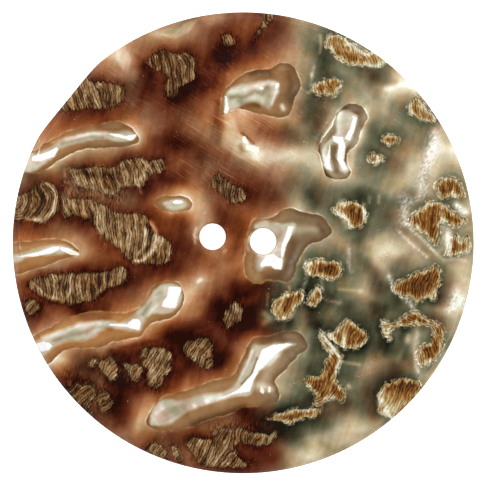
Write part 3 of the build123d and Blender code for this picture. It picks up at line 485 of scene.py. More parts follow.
    (0.16, 0.40, [(-1.8, -13.0), (-0.6, -12.9)]),
    (-0.16, 0.45, [(-2.6, -15.2), (-0.6, -14.4), (1.2, -13.6)]),
    (-0.14, 0.45, [(2.4, -7.9), (3.8, -7.5)]),
    (-0.16, 0.40, [(-0.6, 14.0), (0.8, 14.0)]),
    (-0.12, 0.40, [(-12.6, 8.4), (-10.6, 8.5)]),
    (-0.14, 0.40, [(-12.6, -7.3), (-10.6, -7.1)]),
    (0.20, 0.40, [(4.4, 1.5), (5.8, 1.7)]),
    (0.18, 0.40, [(7.0, 10.8), (7.1, 9.9)]),
    (0.12, 0.40, [(7.2, 7.2), (7.0, 6.5)]),
    (0.20, 0.24, [(6.9, 11.4), (6.6, 10.6), (6.25, 9.9), (5.8, 8.9), (5.8, 8.2), (6.1, 7.0)]),
    (-0.20, 0.13, [(6.6, 11.3), (6.3, 10.6), (6.0, 10.0), (5.6, 9.3), (5.4, 8.6), (5.6, 7.6), (6.0, 6.6),
        (6.7, 5.95)]),
    (0.14, 0.26, [(6.1, 7.0), (6.5, 6.4), (7.2, 6.1), (7.9, 6.3), (7.9, 7.4)]),
    (0.10, 0.50, [(8.9, 11.2), (8.8, 10.4), (8.5, 9.2)]),
    (0.14, 0.25, [(-5.4, -14.2), (-5.8, -14.6)]),
    (-0.12, 0.35, [(-14.2, -5.0), (-13.4, -5.6)]),
    (-0.14, 0.40, [(7.8, -9.6), (7.6, -10.6)]),
]
# Where the shell is greener than its side (above 0) or redder (below 0).
HUES = [
    (0.50, 0.8, [(-8.6, 16.3), (-6.4, 17.2)]),
    (0.30, 0.8, [(-10.4, 12.4), (-10.5, 11.0)]),
    (0.20, 1.0, [(-5.4, 9.6), (-4.4, 8.0), (-3.8, 5.4), (-3.4, 4.2)]),
    (0.30, 0.8, [(-15.2, 4.4), (-14.8, 3.4), (-12.0, 2.8), (-9.6, 2.9)]),
    (0.25, 0.8, [(-15.0, -0.4), (-14.0, -0.6)]),
    (0.35, 0.9, [(-12.4, -11.6), (-10.6, -12.2), (-8.8, -11.4)]),
    (0.30, 0.8, [(-11.0, -14.0), (-10.2, -15.0)]),
    (0.50, 0.8, [(2.8, -14.0), (3.6, -14.8), (2.8, -16.0)]),
    (0.25, 0.8, [(-4.4, -17.0), (-3.4, -17.8)]),
    (0.45, 0.9, [(-18.4, 3.8), (-16.0, 5.0), (-12.0, 6.6), (-10.0, 7.2)]),
    (0.30, 0.8, [(-18.6, -4.2), (-15.0, -2.8), (-13.0, -1.8)]),
    (0.30, 0.9, [(-14.0, -10.6), (-10.4, -10.0)]),
    (0.35, 0.9, [(-7.0, -15.8), (-3.5, -15.2), (0.0, -14.4)]),
    (0.45, 0.9, [(2.4, -11.4), (4.0, -13.0), (5.0, -14.2)]),
    (0.35, 0.9, [(-3.2, 8.8), (-1.2, 7.4), (0.8, 6.6)]),
    (0.35, 0.9, [(2.4, 12.0), (2.8, 9.2)]),
    (0.45, 0.8, [(2.8, 4.3), (3.2, 4.2)]),
    (0.40, 0.8, [(2.6, -5.6), (2.9, -5.2)]),
    (-0.28, 0.8, [(5.6, 12.2), (5.4, 10.2)]),
    (-0.32, 0.9, [(11.8, 7.8), (12.8, 8.6)]),
    (-0.20, 0.8, [(5.7, 4.6), (6.0, 4.4)]),
    (-0.20, 0.8, [(11.2, 0.0), (11.2, -2.4), (11.2, -4.2)]),
    (-0.22, 0.7, [(12.0, 3.4), (13.4, 1.8), (14.8, 0.6)]),
    (-0.28, 0.9, [(9.4, 14.4), (10.0, 14.4)]),
    (-0.36, 0.8, [(7.8, -13.0), (9.6, -12.9)]),
    (-0.30, 0.7, [(11.6, -8.8), (11.4, -10.4), (11.6, -12.6)]),
    (-0.20, 0.8, [(5.8, -5.4), (6.4, -5.6)]),
    (-0.35, 0.9, [(13.0, -9.2), (14.0, -8.6)]),
    (-0.40, 0.9, [(4.6, -17.0), (2.4, -17.2)]),
    # Redder here, so that the painted highlight on the right rim is pinkish.
    (-0.40, 0.8, [(17.2, -2.2), (16.8, -5.0)]),
]
# Where the amber is a clear orange, and elsewhere brown.
GLOW = [
    (1.0, 2.4, [(-17.0, -9.8), (-13.0, -8.6), (-9.4, -7.4)]),
    (0.8, 1.8, [(-18.4, -3.4), (-15.0, -2.0)]),
    (0.5, 1.5, [(-18.0, 5.4), (-15.4, 6.6)]),
    (0.4, 1.5, [(-6.8, -15.2), (-5.0, -14.4)]),
]
# Where the polish is scored with fine lines.
SCUFFS = [
    (1.0, 3.0, [(-9.0, 12.4), (-4.0, 10.6), (0.0, 8.6)]),
    (0.7, 2.4, [(-5.0, 16.0), (-1.0, 14.6)]),
    (0.9, 1.8, [(3.6, 13.4), (7.0, 9.4)]),
    (0.5, 2.0, [(-6.0, 6.6), (-2.0, 5.6), (2.0, 4.6)]),
    (0.5, 2.0, [(12.4, 11.0), (14.8, 7.4)]),
]
# Shell with crumbs of the crust left in it.
GRAINY = [
    (0.9, 0.6, [(-14.8, 3.3), (-12.6, 2.9), (-10.6, 2.9)]),
    (0.8, 0.8, [(-9.8, -11.2), (-9.0, -12.0)]),
    (0.7, 0.9, [(-13.4, -12.4), (-10.8, -13.4)]),
    (0.6, 0.5, [(-1.4, -15.2), (3.0, -14.8)]),
    (0.5, 0.5, [(-18.0, -6.4), (-17.2, -7.2)]),
    (0.6, 0.4, [(-6.6, -11.6), (-5.8, -12.2)]),
]
# Rough whitish ground, whitened by the grinding, and painted sheen and highlights where light catches the
# polish on the right side and at the right rim.
FROST_AND_SHEEN = [
    (0.35, 0.50, [(12.7, 4.9), (12.9, 3.9), (13.0, 3.0)]),
    (0.25, 0.30, [(13.4, 4.6), (14.4, 5.4)]),
    (0.35, 0.55, [(14.2, 6.0), (14.3, 7.2), (14.7, 8.6), (14.8, 10.4)]),
    (0.35, 0.16, [(13.1, 2.9), (14.6, 1.7), (15.9, 0.7)]),
    (0.30, 0.14, [(12.6, 2.2), (14.0, 1.0), (15.2, 0.2)]),
    (0.20, 0.35, [(16.4, 2.6), (16.8, 2.4), (16.3, 1.2)]),
    (0.40, 0.25, [(17.2, 4.8), (17.9, 4.2)]),
    # Painted highlight where light catches the right rim.
    (0.30, 0.45, [(17.6, -2.8), (17.3, -3.9), (18.2, -3.2)]),
    (0.45, 0.20, [(12.2, -1.6), (12.6, -2.7), (13.5, -3.3), (14.2, -3.6), (14.5, -4.3)]),
    (0.18, 0.24, [(14.8, -5.3), (15.0, -6.2), (14.8, -7.4), (15.2, -8.8), (15.4, -9.8)]),
    (0.25, 0.16, [(5.2, -1.0), (5.4, -2.2), (5.2, -3.4)]),
    (0.25, 0.16, [(6.9, -3.0), (7.2, -4.0), (8.4, -4.2)]),
    (0.30, 0.14, [(8.8, 0.2), (8.8, -0.8), (9.1, -1.6)]),
    (0.25, 0.25, [(6.2, -10.6), (6.6, -11.6)]),
]
# Where each crust patch's leaves spread from, and where the others' do.
GROWTH_CENTRES = {
    "crust_rim_left": (-18.9, 1.9),
    "crust_bar_left": (-20.0, 1.5),
    "crust_diagonal_left": (-19.0, -1.0),
    "crust_bar_lower_left": (-20.0, -5.5),
    "crust_strip_right": (5.4, -10.3),
    "crust_arch_right": (13.0, -9.0),
    "crust_round_right": (5.2, -3.9),
    "crust_pair_right": (4.0, -1.5),
    "crust_hook_upper_left": (-13.0, 12.0),
    "crust_rim_bottom_3": (-12.0, -12.0),
}
FAR_CENTRE = (-32.0, 3.0)

# Lightness of each side beside the crust, its gain per mm up to a distance away, and its gain
# beside a window and how far that reaches.
RED_TONE = (0.19, 0.10, 0.14, 0.8)
OLIVE_TONE = (0.32, 0.13, 0.10, 0.6)
FAR_FROM_CRUST = 3.0
# Painted shadow: the shell is darker just beside the crust's edge, by this much and over this reach.
CRUST_SHADE, CRUST_SHADE_REACH = 0.07, 0.35
# Where crumbs lie beside the crust on the red side, and how scored the polish is everywhere.
CRUMBS, CRUMB_REACH = 0.5, 0.4
SCUFF_LEAST = 0.15
RIM_WEAR_REACH = 0.5
# How orange the red side is, everywhere and in a halo round each window.
WARMTH, HALO_WARMTH, HALO_GAP, HALO_WIDTH = 0.25, 0.6, 0.5, 0.9
WARMTH_WAVES = [(0.9, 3.4, 18.0), (0.4, 1.3, 19.0)]
# Left of this line, (y, x) from top to bottom, the shell is red; right of it, green.
COLOUR_BORDER = [(19, 2.6), (14, 3.0), (9, 3.4), (3, 3.4), (-3, 2.3), (-8, 3.2), (-13, 4.2), (-19, 5.2)]
BORDER_BLUR, BORDER_WANDER = 1.3 / 3, (0.8, 3.0, 2.2)

# ---- Colours, sRGB 0-255, darkest first ----
SHELL_RED = [
    (34, 5, 0), (71, 23, 8), (97, 47, 25), (118, 68, 44), (142, 94, 66),
    (172, 127, 95), (201, 172, 143), (232, 216, 192), (252, 249, 240),
]
SHELL_ORANGE = [
    (42, 7, 0), (83, 30, 8), (115, 56, 23), (144, 80, 40), (168, 107, 64),
    (192, 136, 90), (214, 172, 130), (236, 214, 182), (252, 248, 236),
]
SHELL_GREEN = [
    (22, 24, 14), (48, 48, 32), (76, 76, 55), (102, 101, 77), (126, 122, 96),
    (156, 148, 122), (190, 181, 153), (222, 216, 190), (250, 249, 238),
]
SHELL_BEIGE = [
    (52, 38, 18), (84, 66, 38), (118, 97, 62), (148, 126, 90), (178, 157, 120),
    (206, 188, 152), (230, 218, 188), (250, 248, 236),
]
AMBER_RED = [
    (74, 46, 22), (108, 72, 36), (137, 94, 52), (151, 111, 70), (170, 134, 95), (200, 172, 138),
    (246, 240, 226),
]
AMBER_ORANGE = [
    (92, 50, 18), (128, 76, 34), (156, 98, 48), (180, 126, 72), (204, 160, 110), (226, 196, 158),
    (250, 244, 228),
]
AMBER_GREEN = [
    (54, 38, 20), (84, 60, 36), (104, 78, 50), (121, 96, 66), (149, 130, 100), (196, 181, 152),
    (246, 242, 228),
]
PEARL = [
    (100, 78, 54), (132, 110, 84), (160, 143, 116), (186, 172, 148), (210, 198, 176), (232, 222, 204),
    (248, 243, 232), (255, 255, 255),
]
# Greys for the whitish ground and for the painted sheen and highlights on it.
FROST_AND_SHEEN_GREYS = [
    (58, 58, 48), (106, 106, 95), (146, 144, 132), (184, 181, 168), (214, 211, 199), (240, 238, 230),
    (255, 255, 252),
]
CRUST_RED = [
    (28, 11, 2), (58, 30, 10), (86, 53, 24), (112, 78, 42), (138, 104, 66), (166, 134, 94), (196, 170, 132),
    (232, 216, 184),
]
CRUST_GOLD = [
    (44, 20, 4), (80, 44, 12), (112, 68, 26), (140, 94, 44), (168, 124, 70), (194, 156, 104),
    (222, 192, 146),
    (244, 226, 190),
]
CRUST_GREEN = [
    (50, 23, 3), (92, 49, 9), (122, 73, 21), (150, 101, 42), (174, 138, 82), (196, 174, 126),
    (220, 207, 168),
    (246, 242, 222),
]


# ---- Small helpers ----
def smooth_step(value):
    """0 below 0, 1 above 1, and a soft change between."""
    value = np.clip(value, 0, 1)
    return value * value * (3 - 2 * value)


def fade(gap, reach):
    """1 where the gap is 0 or less, falling to 0 past the reach."""
    return np.exp(-((np.maximum(gap, 0) / reach) ** 2))


def wander(points, wavelength, seed):
    """Smooth noise from -1 to 1 at each point."""
    return np.array([noise.noise((x / wavelength, y / wavelength, seed)) for x, y in points])


def shifts(points, wavelength, seeds):
    """Smooth noise in x and in y at each point, from a seed for each."""
    return np.stack([wander(points, wavelength, seed) for seed in seeds], 1)


def waves(points, terms):
    """Sum of smooth noises, each (size, wavelength, seed)."""
    return sum(size * wander(points, wavelength, seed) for size, wavelength, seed in terms)


def rim_radius(angle):
    """Distance of the rim from the centre, with its one shallow flat."""
    turn = np.abs((np.asarray(angle) - FLAT_ANGLE + math.pi) % (2 * math.pi) - math.pi)
    flat = FLAT_DISTANCE / np.maximum(np.cos(np.minimum(turn, 1.2)), 0.1)
    return RADIUS - FLAT_BLEND * np.log1p(np.exp((RADIUS - flat) / FLAT_BLEND))


def ring(centre, radii, count):
    """Points on a closed ring round a centre."""
    angles = np.arange(count) * 2 * math.pi / count
    radius = radii(angles) if callable(radii) else radii
    return np.stack([centre[0] + radius * np.cos(angles), centre[1] + radius * np.sin(angles)], 1)


def inside(points, loops):
    """Whether each point is inside the closed loops, counted by crossings."""
    order = np.argsort(points[:, 1])
    x, y = points[order, 0], points[order, 1]
    crossings = np.zeros(len(points), int)
    for loop in loops:
        ends = np.roll(loop, -1, 0)
        first = np.searchsorted(y, np.minimum(loop[:, 1], ends[:, 1]))
        last = np.searchsorted(y, np.maximum(loop[:, 1], ends[:, 1]))
        for (x0, y0), (x1, y1), start, end in zip(loop, ends, first, last):
            if start < end:
                crossing = x0 + (y[start:end] - y0) * (x1 - x0) / (y1 - y0)
                crossings[start:end] += x[start:end] < crossing
    found = np.zeros(len(points), bool)
    found[order] = crossings % 2 == 1
    return found


def line_gap(points, line):
    """Distance of each point from a line of straight runs."""
    gap = np.full(len(points), 1e9)
    for start, end in zip(np.array(line[:-1], float), np.array(line[1:], float)):
        run = end - start
        share = np.clip((points - start) @ run / (run @ run), 0, 1)
        gap = np.minimum(gap, np.linalg.norm(points - start - share[:, None] * run, axis=1))
    return gap


def resample(loop, step):
    """A closed loop cut into even steps."""
    closed = np.vstack([loop, loop[:1]])
    along = np.concatenate([[0], np.cumsum(np.linalg.norm(np.diff(closed, axis=0), axis=1))])
    places = np.linspace(0, along[-1], max(8, round(along[-1] / step)), endpoint=False)
    return np.stack([np.interp(places, along, closed[:, axis]) for axis in (0, 1)], 1)


# ---- Outlines, read from the CAD nodes ----
def base_edges(mesh):
    """Border edges of a mesh's lowest flat face, each as a pair of rounded points."""
    points = np.zeros(len(mesh.vertices) * 3, np.float32)
    mesh.vertices.foreach_get("co", points)
    points = points.reshape(-1, 3).astype(float) / METRES
    lowest = points[:, 2] < points[:, 2].min() + 0.005
    keys = [tuple(pair) for pair in np.round(points[:, :2], 3).tolist()]
    edges = set()
    mesh.calc_loop_triangles()
    for triangle in mesh.loop_triangles:
        corners = triangle.vertices
        if not all(lowest[corner] for corner in corners):
            continue
        for first, second in ((0, 1), (1, 2), (2, 0)):
            edge = keys[corners[first]], keys[corners[second]]
            if edge[::-1] in edges:
                edges.remove(edge[::-1])
            elif edge[0] != edge[1]:
                edges.add(edge)
    return edges


def base_loops(node):
    """The closed outlines of a CAD node's lowest flat face."""
    following = {}
    for start, end in sorted(base_edges(frame["nodes"][node].data)):
        following.setdefault(start, []).append(end)
    loops = []
    while following:
        first = point = next(iter(following))
        loop = []
        while point in following:
            loop.append(point)
            onward = following[point].pop()
            if not following[point]:
                del following[point]
            point = onward
            if point == first:
                break
        loops.append(np.array(loop))
    return loops


def clear_of_edges(loops):
    """Leaves out sewing holes, and carries what meets the rim out past it."""
    kept = []
    for loop in loops:
        if any(np.hypot(loop[:, 0] - x, loop[:, 1] - y).max() < r + 0.1 for x, y, r in HOLES):
            continue
        radius = np.hypot(loop[:, 0], loop[:, 1])
        at_rim = radius > rim_radius(np.arctan2(loop[:, 1], loop[:, 0])) - 0.05
        push = np.where(at_rim, (RADIUS + 0.6) / radius, 1.0)
        kept.append(loop * push[:, None])
    return kept


def ragged(loop):
    """A crust outline with the small bites and points of a broken edge."""
    loop = resample(loop, 0.09)
    for wavelength, size in ((0.9, 0.20), (0.35, 0.11)):
        loop = loop + size * shifts(loop, wavelength, (3.1, 7.7))
    fringe = wander(loop * (1.0, 0.25), 0.2, 5.5)
    return loop + fringe[:, None] * (0.0, 0.14)


def uneven(loop, seed):
    """A layer's outline, a little irregular as it is in a polished slice."""
    loop = resample(loop, 0.10)
    for wavelength, size in ((1.6, 0.16), (0.6, 0.09), (0.25, 0.05)):
        loop = loop + size * shifts(loop, wavelength, (seed, seed + 4.0))
    return loop


window_loops = [uneven(loop, 21.0) for loop in clear_of_edges(base_loops("outer_layer"))]
nacre_loops = [uneven(loop, 31.0) for loop in clear_of_edges(base_loops("amber_layer"))]
crust_loops = [[ragged(loop) for loop in clear_of_edges(base_loops(name))] for name in CRUST_NODES]
rim_loop = ring((0, 0), rim_radius, RIM_POINTS)
hole_loops = [ring((x, y), r, HOLE_POINTS) for x, y, r in HOLES]


def label_of(points):
    """The region of the front that each point is in."""
    labels = np.full(len(points), OUTER)
    for index, loops in enumerate(crust_loops):
        labels[inside(points, loops)] = CRUST + index
    labels[~inside(points, window_loops)] = AMBER
    labels[~inside(points, nacre_loops)] = NACRE
    labels[inside(points, hole_loops)] = EMPTY
    labels[~inside(points, [rim_loop])] = EMPTY
    return labels


def tree_of(loops):
    """A search tree of points close together along the loops, without what lies past the rim."""
    points = np.vstack([resample(loop, 0.06) for loop in loops])
    points = points[np.hypot(points[:, 0], points[:, 1]) < RADIUS + 0.1]
    tree = kdtree.KDTree(len(points))
    for index, (x, y) in enumerate(points):
        tree.insert((x, y, 0), index)
    tree.balance()
    return tree


def gap_to(tree, points):
    """Distance of each point from the nearest in the tree."""
    return np.array([tree.find((x, y, 0))[2] for x, y in points])


window_tree = tree_of(window_loops)
nacre_tree = tree_of(nacre_loops)
crust_tree = tree_of([loop for loops in crust_loops for loop in loops])


# ---- The plan of the front: one flat triangulation of all the regions ----
def hex_points(step):
    """An even triangular grid over the whole disc."""
    grid = []
    for index, row in enumerate(np.arange(-RADIUS, RADIUS, step * math.sqrt(0.75))):
        along = np.arange(-RADIUS + (index % 2) * step / 2, RADIUS, step)
        grid.append(np.stack([along, np.full_like(along, row)], 1))
    return np.vstack(grid)


def edge_gap(points):
    """Distance in from the rim."""
    return rim_radius(np.arctan2(points[:, 1], points[:, 0])) - np.hypot(points[:, 0], points[:, 1])


def hole_gap(points):
    """Distance out from the nearer sewing hole."""
    return np.min([np.hypot(points[:, 0] - x, points[:, 1] - y) - r for x, y, r in HOLES], axis=0)


def filling(step, wanted):
    """Grid points in the regions wanted, clear of every outline, hole and ring."""
    points = hex_points(step)
    points = points[(edge_gap(points) > RIM_MARGIN) & (hole_gap(points) > HOLE_RINGS[-1] + HOLE_MARGIN)]
    points = points[wanted(label_of(points))]
    for tree in (window_tree, nacre_tree, crust_tree):
        points = points[gap_to(tree, points) > GRID_CLEARANCE * step]
    return points


def make_plan():
    """Triangulates rim, holes, outlines and filling together. Returns points, triangles, labels."""
    closed = [rim_loop, *hole_loops, *window_loops, *nacre_loops]
    closed += [loop for loops in crust_loops for loop in loops]
    edges, start = [], 0
    for loop in closed:
        edges += [(start + i, start + (i + 1) % len(loop)) for i in range(len(loop))]
        start += len(loop)
    loose = []
    for inset in RIM_RINGS[1:]:
        loose.append(ring((0, 0), lambda angle, inset=inset: rim_radius(angle) - inset, RIM_POINTS))
    for x, y, r in HOLES:
        loose += [ring((x, y), r + inset, HOLE_POINTS) for inset in HOLE_RINGS[1:]]
    loose.append(filling(OUTER_STEP, lambda labels: labels == OUTER))
    loose.append(filling(WINDOW_STEP, lambda labels: (labels == NACRE) | (labels == AMBER)))
    loose.append(filling(CRUST_STEP, lambda labels: labels >= CRUST))
    flat = [Vector(pair) for pair in np.vstack(closed + loose).tolist()]
    found = geometry.delaunay_2d_cdt(flat, edges, [], 0, 1e-6, False)
    plan_points = np.array([tuple(point) for point in found[0]])
    triangles = np.array(found[2])
    labels = label_of(plan_points[triangles].mean(1))
    return plan_points, triangles[labels != EMPTY], labels[labels != EMPTY]


plan, triangles, labels = make_plan()


# ---- What varies over the front ----
def touched(wanted):
    """Whether each plan point belongs to a triangle of the wanted labels."""
    mask = np.zeros(len(plan), bool)
    mask[triangles[wanted].ravel()] = True
    return mask


def lie(strokes, points):
    """Sum of soft strokes laid along lines."""
    total = np.zeros(len(points))
    for strength, reach, line in strokes:
        total += strength * fade(line_gap(points, line), reach)
    return total


def bent(points, amount):
    """The points shifted a little by noise, so that nothing drawn with them is straight."""
    bend = shifts(points, 2.6, (1.7, 5.2))
    ripple = shifts(points, 0.8, (8.1, 9.4))
    return points + amount * bend + 0.3 * amount * ripple


def signed_gap(tree, within):
    """Distance of each plan point from the tree's outlines, below 0 within them."""
    gap = gap_to(tree, plan)
    return np.where(within, -gap, gap)


in_window = touched((labels == NACRE) | (labels == AMBER))
window_gap = signed_gap(window_tree, in_window)
nacre_gap = signed_gap(nacre_tree, touched(labels == NACRE))
crust_gap = signed_gap(crust_tree, touched(labels >= CRUST))
warped = bent(plan, 0.5)
ridge_lie = lie(RIDGES, warped)
dip_lie = lie(DIPS, warped)
fold_lie = lie(FOLDS, bent(plan, 0.06))
border = np.interp(-plan[:, 1], [-y for y, x in COLOUR_BORDER], [x for y, x in COLOUR_BORDER])
green = 1 / (1 + np.exp(-(plan[:, 0] - border + waves(plan, [BORDER_WANDER])) / BORDER_BLUR))
green = np.clip(green + lie(HUES, warped), 0, 1)
# Whitish ground and painted sheen and highlights, laid along their strokes.
frost_and_sheen = lie(FROST_AND_SHEEN, bent(plan, 0.2))
glow = np.minimum(lie(GLOW, warped), 1)
grainy = np.minimum(CRUMBS * fade(crust_gap, CRUMB_REACH) * (1 - green) + lie(GRAINY, warped), 1)
scuffs = np.clip(SCUFF_LEAST + lie(SCUFFS, warped), 0, 1)


def face_heights():
    """Height of the polished front over the plan."""
    height = FACE + HILL * fade(window_gap, HILL_REACH) + BULGE * smooth_step(-window_gap / BULGE_WIDTH)
    height -= HOLLOW * fade(crust_gap, HOLLOW_REACH)
    height += RIDGE_RISE * ridge_lie - DIP_FALL * dip_lie
    height += waves(plan, FACE_WAVES)
    height -= EDGE_DROP * (np.hypot(plan[:, 0], plan[:, 1]) / RADIUS) ** 4
    bevel = BEVEL_START + np.maximum(edge_gap(plan), 0)
    height = -BEVEL_BLEND * np.log(np.exp(-height / BEVEL_BLEND) + np.exp(-bevel / BEVEL_BLEND))
    height -= HOLE_DROP * (1 - np.clip(hole_gap(plan) / HOLE_RINGS[-1], 0, 1)) ** 2
    return np.minimum(height, TOP_LIMIT)


def leaf_count():
    """Counts the leaves of the crust outward from where each patch grew, as they wander."""
    count = waves(plan, LEAF_WAVES)
    for index, name in enumerate(CRUST_NODES):
        mine = touched(labels == CRUST + index)
        away = plan[mine] - GROWTH_CENTRES.get(name, FAR_CENTRE)
        count[mine] += np.hypot(away[:, 0], away[:, 1])
    return count / LAMELLA_PITCH


def lamellae():
    """The crust's leaf edges, 0 in the grooves to 1 on the crests."""
    phase = leaves % 1.0
    saw = np.where(phase < LAMELLA_RISE, phase / LAMELLA_RISE, (1 - phase) / (1 - LAMELLA_RISE))
    broken = 0.6 + 0.6 * wander(plan * (1.0, 0.5), 0.35, 14.0)
    return np.clip(saw * broken + 0.4 * wander(plan, 0.14, 15.0), 0, 1)


def outline_gap(points, outline):
    """Distance from a closed outline, below 0 within it."""
    gap = line_gap(points, np.vstack([outline, outline[:1]]))
    return np.where(inside(points, [outline]), -gap, gap)


def glint_mask():
    """1 on the painted highlights of the mother-of-pearl's facets, with soft edges."""
    mask = np.zeros(len(plan))
    spots = bent(plan, 0.05)
    for outline in GLINTS:
        mask = np.maximum(mask, smooth_step(0.5 - outline_gap(spots, np.array(outline)) / GLINT_EDGE))
    return mask


def side_tone(dark, climb, gain, reach):
    """Lightness of one side of the shell: dark by the crust, and pale by the windows."""
    from_crust = np.minimum(np.maximum(crust_gap, 0), FAR_FROM_CRUST)
    return dark + climb * from_crust + gain * np.exp(-np.maximum(window_gap, 0) / reach)


def patch_lie():
    """Sum of the patches' strengths."""
    total = np.zeros(len(plan))
    spots = bent(plan, 0.12)
    for strength, edge, outline in PATCHES:
        total += strength * smooth_step(0.5 - outline_gap(spots, np.array(outline)) / edge)
    return total


face = face_heights()
leaves = leaf_count()
crest = lamellae()
glint = glint_mask()
crust_top = face - CRUST_SINK + LAMELLA_HEIGHT * (crest - LAMELLA_MIDDLE) + waves(plan, CRUST_WAVES)
crust_top -= CRUST_EDGE_SINK * fade(-crust_gap, CRUST_EDGE_REACH)
crust_top = np.clip(crust_top, POCKET_FLOOR + CRUST_LEAST, TOP_LIMIT)


def shell_tone():
    """Lightness of the coloured layer, with all the strokes laid on it, and a painted shadow just beside the
    crust.
    """
    sides = side_tone(*RED_TONE) * (1 - green) + side_tone(*OLIVE_TONE) * green
    shade = CRUST_SHADE * fade(crust_gap, CRUST_SHADE_REACH)
    return sides + ridge_lie - dip_lie + patch_lie() - shade


def warmth():
    """1 where the red side glows orange, beside the windows, and 0 where it is dull."""
    halo = np.exp(-(((np.maximum(window_gap, 0) - HALO_GAP) / HALO_WIDTH) ** 2))
    return np.clip(WARMTH + HALO_WARMTH * halo + waves(plan, WARMTH_WAVES), 0, 1)


tone = shell_tone()
FIELDS = {
    "tone": tone,
    "green": green,
    "window_gap": window_gap,
    "nacre_gap": nacre_gap,
    "crust_gap": crust_gap,
    "leaves": leaves,
    "fold": fold_lie,
    "glint": glint,
    "warmth": warmth(),
    "frost_and_sheen": frost_and_sheen,
    "glow": glow,
    "grainy": grainy,
    "scuffs": scuffs,
    "worn": fade(edge_gap(plan), RIM_WEAR_REACH) * (1 - green),
}


# ---- Solids from the plan ----
def edge_codes(edges):
    """One number for each directed edge."""
    return edges[:, 0] * len(plan) + edges[:, 1]


def border_of(faces):
    """Directed edges that only one of the faces has."""
    directed = np.vstack([faces[:, [0, 1]], faces[:, [1, 2]], faces[:, [2, 0]]])
    return directed[~np.isin(edge_codes(directed), edge_codes(directed[:, ::-1]))]


def spread_points():
    """Plan points on the innermost rim ring and spread thinly within it."""
    near = kdtree.KDTree(len(plan))
    for index, (x, y) in enumerate(plan):
        near.insert((x, y, 0), index)
    near.balance()
    wanted = hex_points(BACK_STEP)
    wanted = wanted[(edge_gap(wanted) > 2 * RIM_RINGS[-1]) & (hole_gap(wanted) > 0.6)]
    nearest = [near.find((x, y, 0))[1] for x, y in wanted]
    on_ring = np.nonzero(np.abs(edge_gap(plan) - RIM_RINGS[-1]) < 1e-4)[0]
    return np.union1d(nearest, on_ring)


def coarse_cover(faces, regions, extra=()):
    """The same area as the faces in few triangles, with extra plan points among their corners."""
    border = border_of(faces)
    used = np.union1d(border, np.array(extra, int))
    places = np.searchsorted(used, border)
    corners = [Vector(pair) for pair in plan[used].tolist()]
    found = geometry.delaunay_2d_cdt(corners, places.reshape(-1, 2).tolist(), [], 0, 1e-9, True)
    original = [ids[0] if ids else -1 for ids in found[3]]
    cover = np.array([[original[i] for i in face] for face in found[2]])
    wanted = np.isin(label_of(plan[used][cover].mean(1)), regions) & (cover >= 0).all(1)
    return used[cover[wanted]]


def build_mesh(name, levels, parts):
    """A mesh from parts: faces that look up or down at the low level, or walls from low to high."""
    corners = []
    for kind, rows, low, high in parts:
        if kind == "up":
            corners += [tuple(low * len(plan) + v for v in face) for face in rows.tolist()]
        elif kind == "down":
            corners += [tuple(low * len(plan) + v for v in face[::-1]) for face in rows.tolist()]
        else:
            for a, b in rows.tolist():
                bottom, top = low * len(plan), high * len(plan)
                corners.append((bottom + a, bottom + b, top + b, top + a))
    used, places = np.unique(np.concatenate([np.array(c) for c in corners]), return_inverse=True)
    heights = np.concatenate([np.broadcast_to(level, len(plan)) for level in levels])
    spots = used % len(plan)
    co = np.column_stack([plan[spots], heights[used]]) * METRES
    sizes = [len(c) for c in corners]
    starts = np.concatenate([[0], np.cumsum(sizes)[:-1]])
    faces = [tuple(places[s : s + n].tolist()) for s, n in zip(starts, sizes)]
    mesh = bpy.data.meshes.new(name)
    mesh.from_pydata(co.tolist(), [], faces)
    for field, values in FIELDS.items():
        layer = mesh.attributes.new(field, "FLOAT", "POINT")
        layer.data.foreach_set("value", values[spots].astype(np.float32))
    mesh.validate()
    return mesh


def column_piece(name, bottom, high, top, low=(), low_top=None):
    """A closed piece: its high regions reach the top heights, its low ones a flat level."""
    high_faces, low_faces = (triangles[np.isin(labels, regions)] for regions in (high, low))
    whole = np.vstack([high_faces, low_faces])
    levels = [bottom, top] + ([low_top] if low else [])
    spread = spread_points() if bottom == 0 else ()
    parts = [("up", high_faces, 1, 1), ("down", coarse_cover(whole, [*high, *low], spread), 0, 0)]
    outer_codes = edge_codes(border_of(whole))
    for rows, level in ((border_of(high_faces), 1), (border_of(low_faces), 2)):
        outside = np.isin(edge_codes(rows), outer_codes)
        parts.append(("wall", rows[outside], 0, level))
        if level == 1 and low:
            parts.append(("wall", rows[~outside], 2, 1))
    if low:
        parts.append(("up", coarse_cover(low_faces, low), 2, 2))
    return build_mesh(name, levels, parts)


def round_back(mesh):
    """Rounds the corners of the back at the rim and the holes."""
    shape = bmesh.new()
    shape.from_mesh(mesh)
    rim, holes = [], []
    for edge in shape.edges:
        flat = all(abs(v.co.z) < 1e-7 for v in edge.verts)
        if flat and not all(abs(face.normal.z) > 0.9 for face in edge.link_faces):
            middle = (edge.verts[0].co + edge.verts[1].co) / 2 / METRES
            (rim if middle.xy.length > RADIUS / 2 else holes).append(edge)
    for edges, size in ((rim, BACK_ROUND), (holes, HOLE_ROUND)):
        bmesh.ops.bevel(
            shape, geom=edges, offset=size * METRES, offset_type="OFFSET", segments=3, profile=0.5,
            affect="EDGES", clamp_overlap=True,
        )
    shape.to_mesh(mesh)
    shape.free()


def place(mesh, nodes, material, crease=40):
    """Makes the piece, which stands for CAD nodes and rides on the one body."""
    mesh.shade_smooth()
    mesh.set_sharp_from_angle(angle=math.radians(crease))
    mesh.materials.append(material)
    piece = bpy.data.objects.new(mesh.name, mesh)
    bpy.context.scene.collection.objects.link(piece)
    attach(piece, "root")
    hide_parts(*nodes)
    return piece


